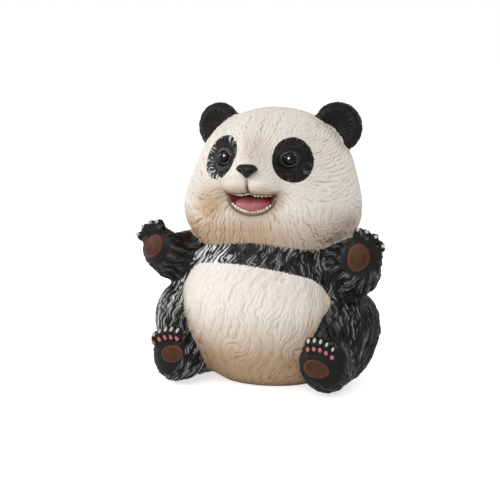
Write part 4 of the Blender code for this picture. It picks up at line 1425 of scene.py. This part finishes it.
def add_pad(bm, layer, mass, relief, outward, depth=1.2, start=4, slack=3.0):
    """A low cushion that lies on the figure, its rim a little raised, with how near its rim each point is."""
    place = Matrix.Translation(Vector(mass.centre)) @ rotation(mass.turn).to_4x4()
    made = bmesh.ops.create_uvsphere(bm, u_segments=48, v_segments=24, radius=1)["verts"]
    rim_height, rim_place, rim_width = PAD_RIM
    reaches, heights, flat = [], [], []
    for vert in made:
        x, y, z = vert.co.x, vert.co.z, vert.co.y
        reach = math.hypot(x, z)
        wobble = 1 + PAD_WOBBLE * math.sin(3 * math.atan2(z, x) + 1)
        dome = math.sqrt(max(0, 1 - reach**4))
        rim = rim_height * math.exp(-(((reach - rim_place) / rim_width) ** 2))
        reaches.append(reach)
        heights.append((relief * dome + rim) if y > 0 else -depth * dome)
        flat.append(place @ Vector((x * mass.radii[0] * wobble, 0, z * mass.radii[1] * wobble)))
    flat, outward = np.array(flat), np.array(outward, float)
    onto = drawn_onto(flat + outward * start, -outward)
    rise = (onto - flat) @ outward
    onto = flat + np.clip(rise, np.median(rise) - slack, np.median(rise) + slack)[:, None] * outward
    for vert, point, height, reach in zip(made, onto, heights, reaches):
        vert.co = Vector(point) + Vector(outward) * height
        vert[layer] = reach


def paw_pads():
    """The brown pads of both palms and both soles."""
    bm = bmesh.new()
    layer = bm.verts.layers.float.new("edge")
    relief = sizes().pad_relief / millimetre()
    for side in SIDES:
        outward = Vector((0.2 * side, -1, 0.05)).normalized()
        add_pad(bm, layer, PALM_PADS[side], relief, outward)
        if side < 0:
            add_pad(bm, layer, SMALL_PALM_PAD, relief, outward)
        sole = np.array(SOLE_PADS[side].centre)
        sole = sole - sole_normal(side) * sole_distance(sole[None], side)
        pad = SOLE_PADS[side]._replace(centre=tuple(sole))
        add_pad(bm, layer, pad, relief * 0.7, sole_normal(side), slack=0.8)
    return finished(bm, "paw_pads")


def toe_beans():
    """The small pink pads of the toes, each in a dark red surround."""
    bm = bmesh.new()
    layer = bm.verts.layers.float.new("edge")
    for side in SIDES:
        for toe in toes(side):
            pad = Mass(tuple(Vector(toe.centre) + Vector(TOE_PAD_OFFSET)), TOE_PAD_RADII)
            add_pad(bm, layer, pad, TOE_PAD_RELIEF, Vector(sole_normal(side)), 0.8, 1, 0.5)
    return finished(bm, "toe_beans")


def eye_material():
    """Glossy dark brown, black in the pupil and warmer towards the iris's edge, with a painted highlight: a
    small white dot on the eye's front.
    """
    material, wiring, shader = new_material("glossy_eye")
    colours = paints()
    patina = use_patina(wiring, 700.0, 2500.0)
    reach = wiring.plus(wiring.attribute("pupil"), wiring.times(patina["Mottle"], 0.2))
    iris = wiring.mix(wiring.ease(reach, 0.45, 0.75), colours.black, colours.iris)
    eye = wiring.mix(wiring.ease(reach, 0.85, 1.0), iris, colours.black)
    # A painted highlight: a small white dot in the teeth's colour.
    glint = wiring.ease(wiring.attribute("glint"), GLINT_RADIUS * 1.2, GLINT_RADIUS * 0.8)
    wiring.set(shader.inputs["Base Color"], wiring.mix(glint, eye, colours.teeth))
    wiring.set(shader.inputs["Roughness"], wiring.ease(patina["Grain"], 0.2, 0.8, 0.04, 0.09))
    shader.inputs["Specular IOR Level"].default_value = 0.22
    shader.inputs["Coat Weight"].default_value = 0.05
    shader.inputs["Coat Roughness"].default_value = 0.03
    return material


def claw_material():
    """Ivory that darkens at the claw's root and warms at its tip."""
    material, wiring, shader = new_material("ivory_claw")
    colours = paints()
    patina = use_patina(wiring, 400.0, 2500.0)
    along = wiring.plus(wiring.attribute("along"), wiring.times(patina["Mottle"], 0.3))
    tone = wiring.mix(wiring.ease(along, 0.2, 0.5), colours.groove, colours.ivory)
    wiring.set(shader.inputs["Base Color"], tone)
    wiring.set(shader.inputs["Roughness"], wiring.ease(patina["Grain"], 0.2, 0.8, 0.22, 0.36))
    bump(wiring, shader, patina["Grain"], 0.00006)
    return material


def length_property(title, about, value):
    return FloatProperty(name=title, description=about, default=value, min=value / 4, unit="LENGTH")


class PandaSizes(bpy.types.PropertyGroup):
    figure_height: length_property("Figure Height", "Height of the whole panda", 0.192)
    lock_length: length_property("Lock Length", "Length of each large carved lock", 0.017)
    lock_width: length_property("Lock Width", "Width of each large carved lock", 0.0085)
    eye_radius: length_property("Eye Radius", "Radius of each eyeball", 0.0048)
    claw_length: length_property("Claw Length", "Length of each finger claw", 0.0044)
    pad_relief: length_property("Pad Relief", "How far the pads stand proud", 0.0012)


def colour_property(title, about, value):
    return FloatVectorProperty(
        name=title, description=about, default=value, size=3, min=0, max=1, subtype="COLOR"
    )


class PandaPaints(bpy.types.PropertyGroup):
    cream: colour_property("Cream", "Main paint of the pale fur", (0.83, 0.78, 0.70))
    cream_light: colour_property("Light Cream", "Paler patches of the pale fur", (0.91, 0.885, 0.84))
    # The groove colour is also the colour of the painted shade in the creases.
    groove: colour_property("Groove", "Grey-brown wash in the grooves of the pale fur", (0.26, 0.19, 0.13))
    tan: colour_property("Tan", "Tan wash low on the cheeks and belly", (0.47, 0.275, 0.13))
    black: colour_property("Black", "Paint of the limbs, ears, band and eye patches", (0.007, 0.006, 0.005))
    # Grey dry brush and painted highlight on the black fur's ridges.
    silver: colour_property("Silver", "Grey brushed over the black fur's ridges", (0.88, 0.88, 0.90))
    mouth: colour_property("Mouth", "Inside of the open mouth", (0.25, 0.042, 0.050))
    lip: colour_property("Lip", "Dark line of the lips", (0.05, 0.035, 0.03))
    tongue: colour_property("Tongue", "Paint of the tongue", (0.44, 0.125, 0.135))
    teeth: colour_property("Teeth", "Paint of the teeth", (0.9, 0.88, 0.84))
    ivory: colour_property("Ivory", "Paint of the claws", (0.58, 0.57, 0.52))
    pad: colour_property("Pad", "Paint of the palms' and soles' pads", (0.062, 0.022, 0.009))
    pad_rim: colour_property("Pad Rim", "Lighter edge of the pads", (0.12, 0.045, 0.026))
    bean: colour_property("Toe Pad", "Paint of the toes' small pads", (0.55, 0.19, 0.20))
    iris: colour_property("Iris", "Brown ring of the eyes", (0.008, 0.004, 0.003))


def sizes():
    return bpy.context.scene.panda_sizes


def paints():
    return bpy.context.scene.panda_paints


def millimetre():
    """The length in metres of one of the layout's millimetres."""
    return sizes().figure_height / LAYOUT_HEIGHT


class PANDA_OT_fur_coat(bpy.types.Operator):
    """The whole carved body, cut into pieces along planes"""

    bl_idname = "panda.fur_coat"
    bl_label = "Carved Fur"

    def execute(self, context):
        body = smooth_body()
        carve_fur(body)
        whole = bmesh.new()
        whole.from_mesh(body)
        floor = ((0, 0, 0), (0, 0, -1))
        material = fur_material()
        for name, planes in BODY_CUTS.items():
            add_piece(cut_piece(whole, name, [floor, *planes]), name, material)
        whole.free()
        return {"FINISHED"}


class PANDA_OT_eyes(bpy.types.Operator):
    """Eyeballs and the lids round them"""

    bl_idname = "panda.eyes"
    bl_label = "Eyes"

    def execute(self, context):
        add_piece(eyeballs(), "eyes", eye_material())
        lid = plain_paint("black_lid", paints().black, LID_SECOND, 0.18, specular=0.6)
        add_piece(eyelids(), "eyelids", lid)
        return {"FINISHED"}


class PANDA_OT_nose(bpy.types.Operator):
    """The nose with its nostrils"""

    bl_idname = "panda.nose"
    bl_label = "Nose"

    def execute(self, context):
        black = paints().black
        paint = plain_paint("satin_nose", black, NOSE_SECOND, 0.24, 0.00012, 300.0, specular=0.3)
        add_piece(nose(), "nose", paint)
        return {"FINISHED"}


class PANDA_OT_mouth(bpy.types.Operator):
    """The tongue and both rows of teeth"""

    bl_idname = "panda.mouth"
    bl_label = "Mouth"

    def execute(self, context):
        colours = paints()
        pink = plain_paint("pink_tongue", colours.tongue, TONGUE_SECOND, 0.3, 0.0002, 220.0, 0.3)
        add_piece(tongue(), "tongue", pink)
        add_piece(teeth(), "teeth", plain_paint("white_teeth", colours.teeth, TEETH_SECOND, 0.35))
        return {"FINISHED"}


class PANDA_OT_claws(bpy.types.Operator):
    """Four claws on each hand and five on each foot"""

    bl_idname = "panda.claws"
    bl_label = "Claws"

    def execute(self, context):
        paint = claw_material()
        add_piece(finger_claws(), "finger_claws", paint)
        add_piece(toe_claws(), "toe_claws", paint)
        return {"FINISHED"}


class PANDA_OT_pads(bpy.types.Operator):
    """The pads of the palms and soles and the toes' small pink ones"""

    bl_idname = "panda.pads"
    bl_label = "Pads"

    def execute(self, context):
        colours = paints()
        rim = colours.pad_rim
        brown = plain_paint("brown_pad", colours.pad, PAD_SECOND, 0.42, 0.00012, 220.0, 0, rim, 0.2)
        add_piece(paw_pads(), "paw_pads", brown)
        pink = plain_paint("pink_toe_pad", colours.bean, BEAN_SECOND, 0.35, 0.00006, 300.0, 0, BEAN_RIM)
        add_piece(toe_beans(), "toe_beans", pink)
        return {"FINISHED"}


class PANDA_OT_stage(bpy.types.Operator):
    """A plain pale floor, soft lights and the camera"""

    bl_idname = "panda.stage"
    bl_label = "Stage"

    def execute(self, context):
        add_floor()
        add_lights()
        add_camera()
        return {"FINISHED"}


def add_floor():
    bm = bmesh.new()
    bmesh.ops.create_circle(bm, cap_ends=True, segments=96, radius=4)
    floor = bpy.data.objects.new("floor", mesh_from(bm, "floor"))
    bpy.context.scene.collection.objects.link(floor)
    material, wiring, shader = new_material("pale_floor")
    patina = use_patina(wiring, 6.0, 900.0)
    wiring.set(shader.inputs["Base Color"], wiring.mix(patina["Mottle"], *FLOOR_TONES))
    shader.inputs["Roughness"].default_value = 0.6
    shader.inputs["Emission Color"].default_value = (1, 1, 1, 1)
    seen = wiring.add("ShaderNodeLightPath").outputs["Is Camera Ray"]
    wiring.set(shader.inputs["Emission Strength"], wiring.times(seen, FLOOR_GLOW))
    floor.data.materials.append(material)


def add_lights():
    scene = bpy.context.scene
    world = bpy.data.worlds.new("soft_sky")
    scene.world = world
    world.use_nodes = True
    world.node_tree.nodes.clear()
    wiring = Wiring(world.node_tree)
    lit = wiring.add("ShaderNodeBackground", {"Color": (1, 1, 1, 1), "Strength": SKY_STRENGTH})
    seen = wiring.add("ShaderNodeBackground", {"Color": (1, 1, 1, 1), "Strength": 1})
    shown = wiring.add("ShaderNodeLightPath").outputs["Is Camera Ray"]
    sky = wiring.add("ShaderNodeMixShader", {0: shown, 1: lit.outputs[0], 2: seen.outputs[0]})
    wiring.add("ShaderNodeOutputWorld", {"Surface": sky.outputs[0]})
    data = bpy.data.lights.new("soft_sun", "SUN")
    data.energy = SUN_STRENGTH
    data.angle = math.radians(50)
    sun = bpy.data.objects.new("soft_sun", data)
    sun.rotation_euler = Vector(SUN_WAY).to_track_quat("Z", "Y").to_euler()
    scene.collection.objects.link(sun)
    for name, place, size, power in SOFTBOXES:
        data = bpy.data.lights.new(name, "AREA")
        data.shape = "SQUARE"
        data.size = size
        data.energy = power
        light = bpy.data.objects.new(name, data)
        light.location = place
        light.rotation_euler = (Vector(place) - Vector((0, 0, 0.1))).to_track_quat("Z", "Y").to_euler()
        scene.collection.objects.link(light)
    scene.view_settings.view_transform = "Standard"


def add_camera():
    """The camera at the photograph's viewing angle."""
    turn, rise = math.radians(CAMERA_TURN), math.radians(CAMERA_RISE)
    back = Vector((math.sin(turn) * math.cos(rise), -math.cos(turn) * math.cos(rise), math.sin(rise)))
    right = Vector((math.cos(turn), math.sin(turn), 0))
    target = Vector((0, 0, 0.095)) - right * AIM_SIDE - back.cross(right) * AIM_RISE
    data = bpy.data.cameras.new("camera")
    data.sensor_width = 36
    data.lens = 36 * CAMERA_DISTANCE / FRAME_WIDTH
    camera = bpy.data.objects.new("camera", data)
    camera.location = target + back * CAMERA_DISTANCE
    camera.rotation_euler = back.to_track_quat("Z", "Y").to_euler()
    bpy.context.scene.collection.objects.link(camera)
    bpy.context.scene.camera = camera


class PANDA_PT_panel(bpy.types.Panel):
    """Lists the panda's sizes, paints and pieces"""

    bl_idname = "PANDA_PT_panel"
    bl_label = "Panda Figurine"
    bl_space_type = "VIEW_3D"
    bl_region_type = "UI"
    bl_category = "Panda"

    def draw(self, context):
        for group in (context.scene.panda_sizes, context.scene.panda_paints):
            box = self.layout.box()
            for name in group.__annotations__:
                box.prop(group, name)
        for operator in OPERATORS:
            self.layout.operator(operator.bl_idname)


OPERATORS = (
    PANDA_OT_fur_coat,
    PANDA_OT_eyes,
    PANDA_OT_nose,
    PANDA_OT_mouth,
    PANDA_OT_claws,
    PANDA_OT_pads,
    PANDA_OT_stage,
)
CLASSES = (PandaSizes, PandaPaints, *OPERATORS, PANDA_PT_panel)


def register():
    for added in CLASSES:
        bpy.utils.register_class(added)
    bpy.types.Scene.panda_sizes = PointerProperty(type=PandaSizes)
    bpy.types.Scene.panda_paints = PointerProperty(type=PandaPaints)


def unregister():
    del bpy.types.Scene.panda_sizes
    del bpy.types.Scene.panda_paints
    for added in reversed(CLASSES):
        bpy.utils.unregister_class(added)


def main():
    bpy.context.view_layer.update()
    register()
    bpy.ops.panda.fur_coat()
    bpy.ops.panda.eyes()
    bpy.ops.panda.nose()
    bpy.ops.panda.mouth()
    bpy.ops.panda.claws()
    bpy.ops.panda.pads()
    bpy.ops.panda.stage()
    bpy.context.view_layer.update()


if __name__ == "__main__":
    main()
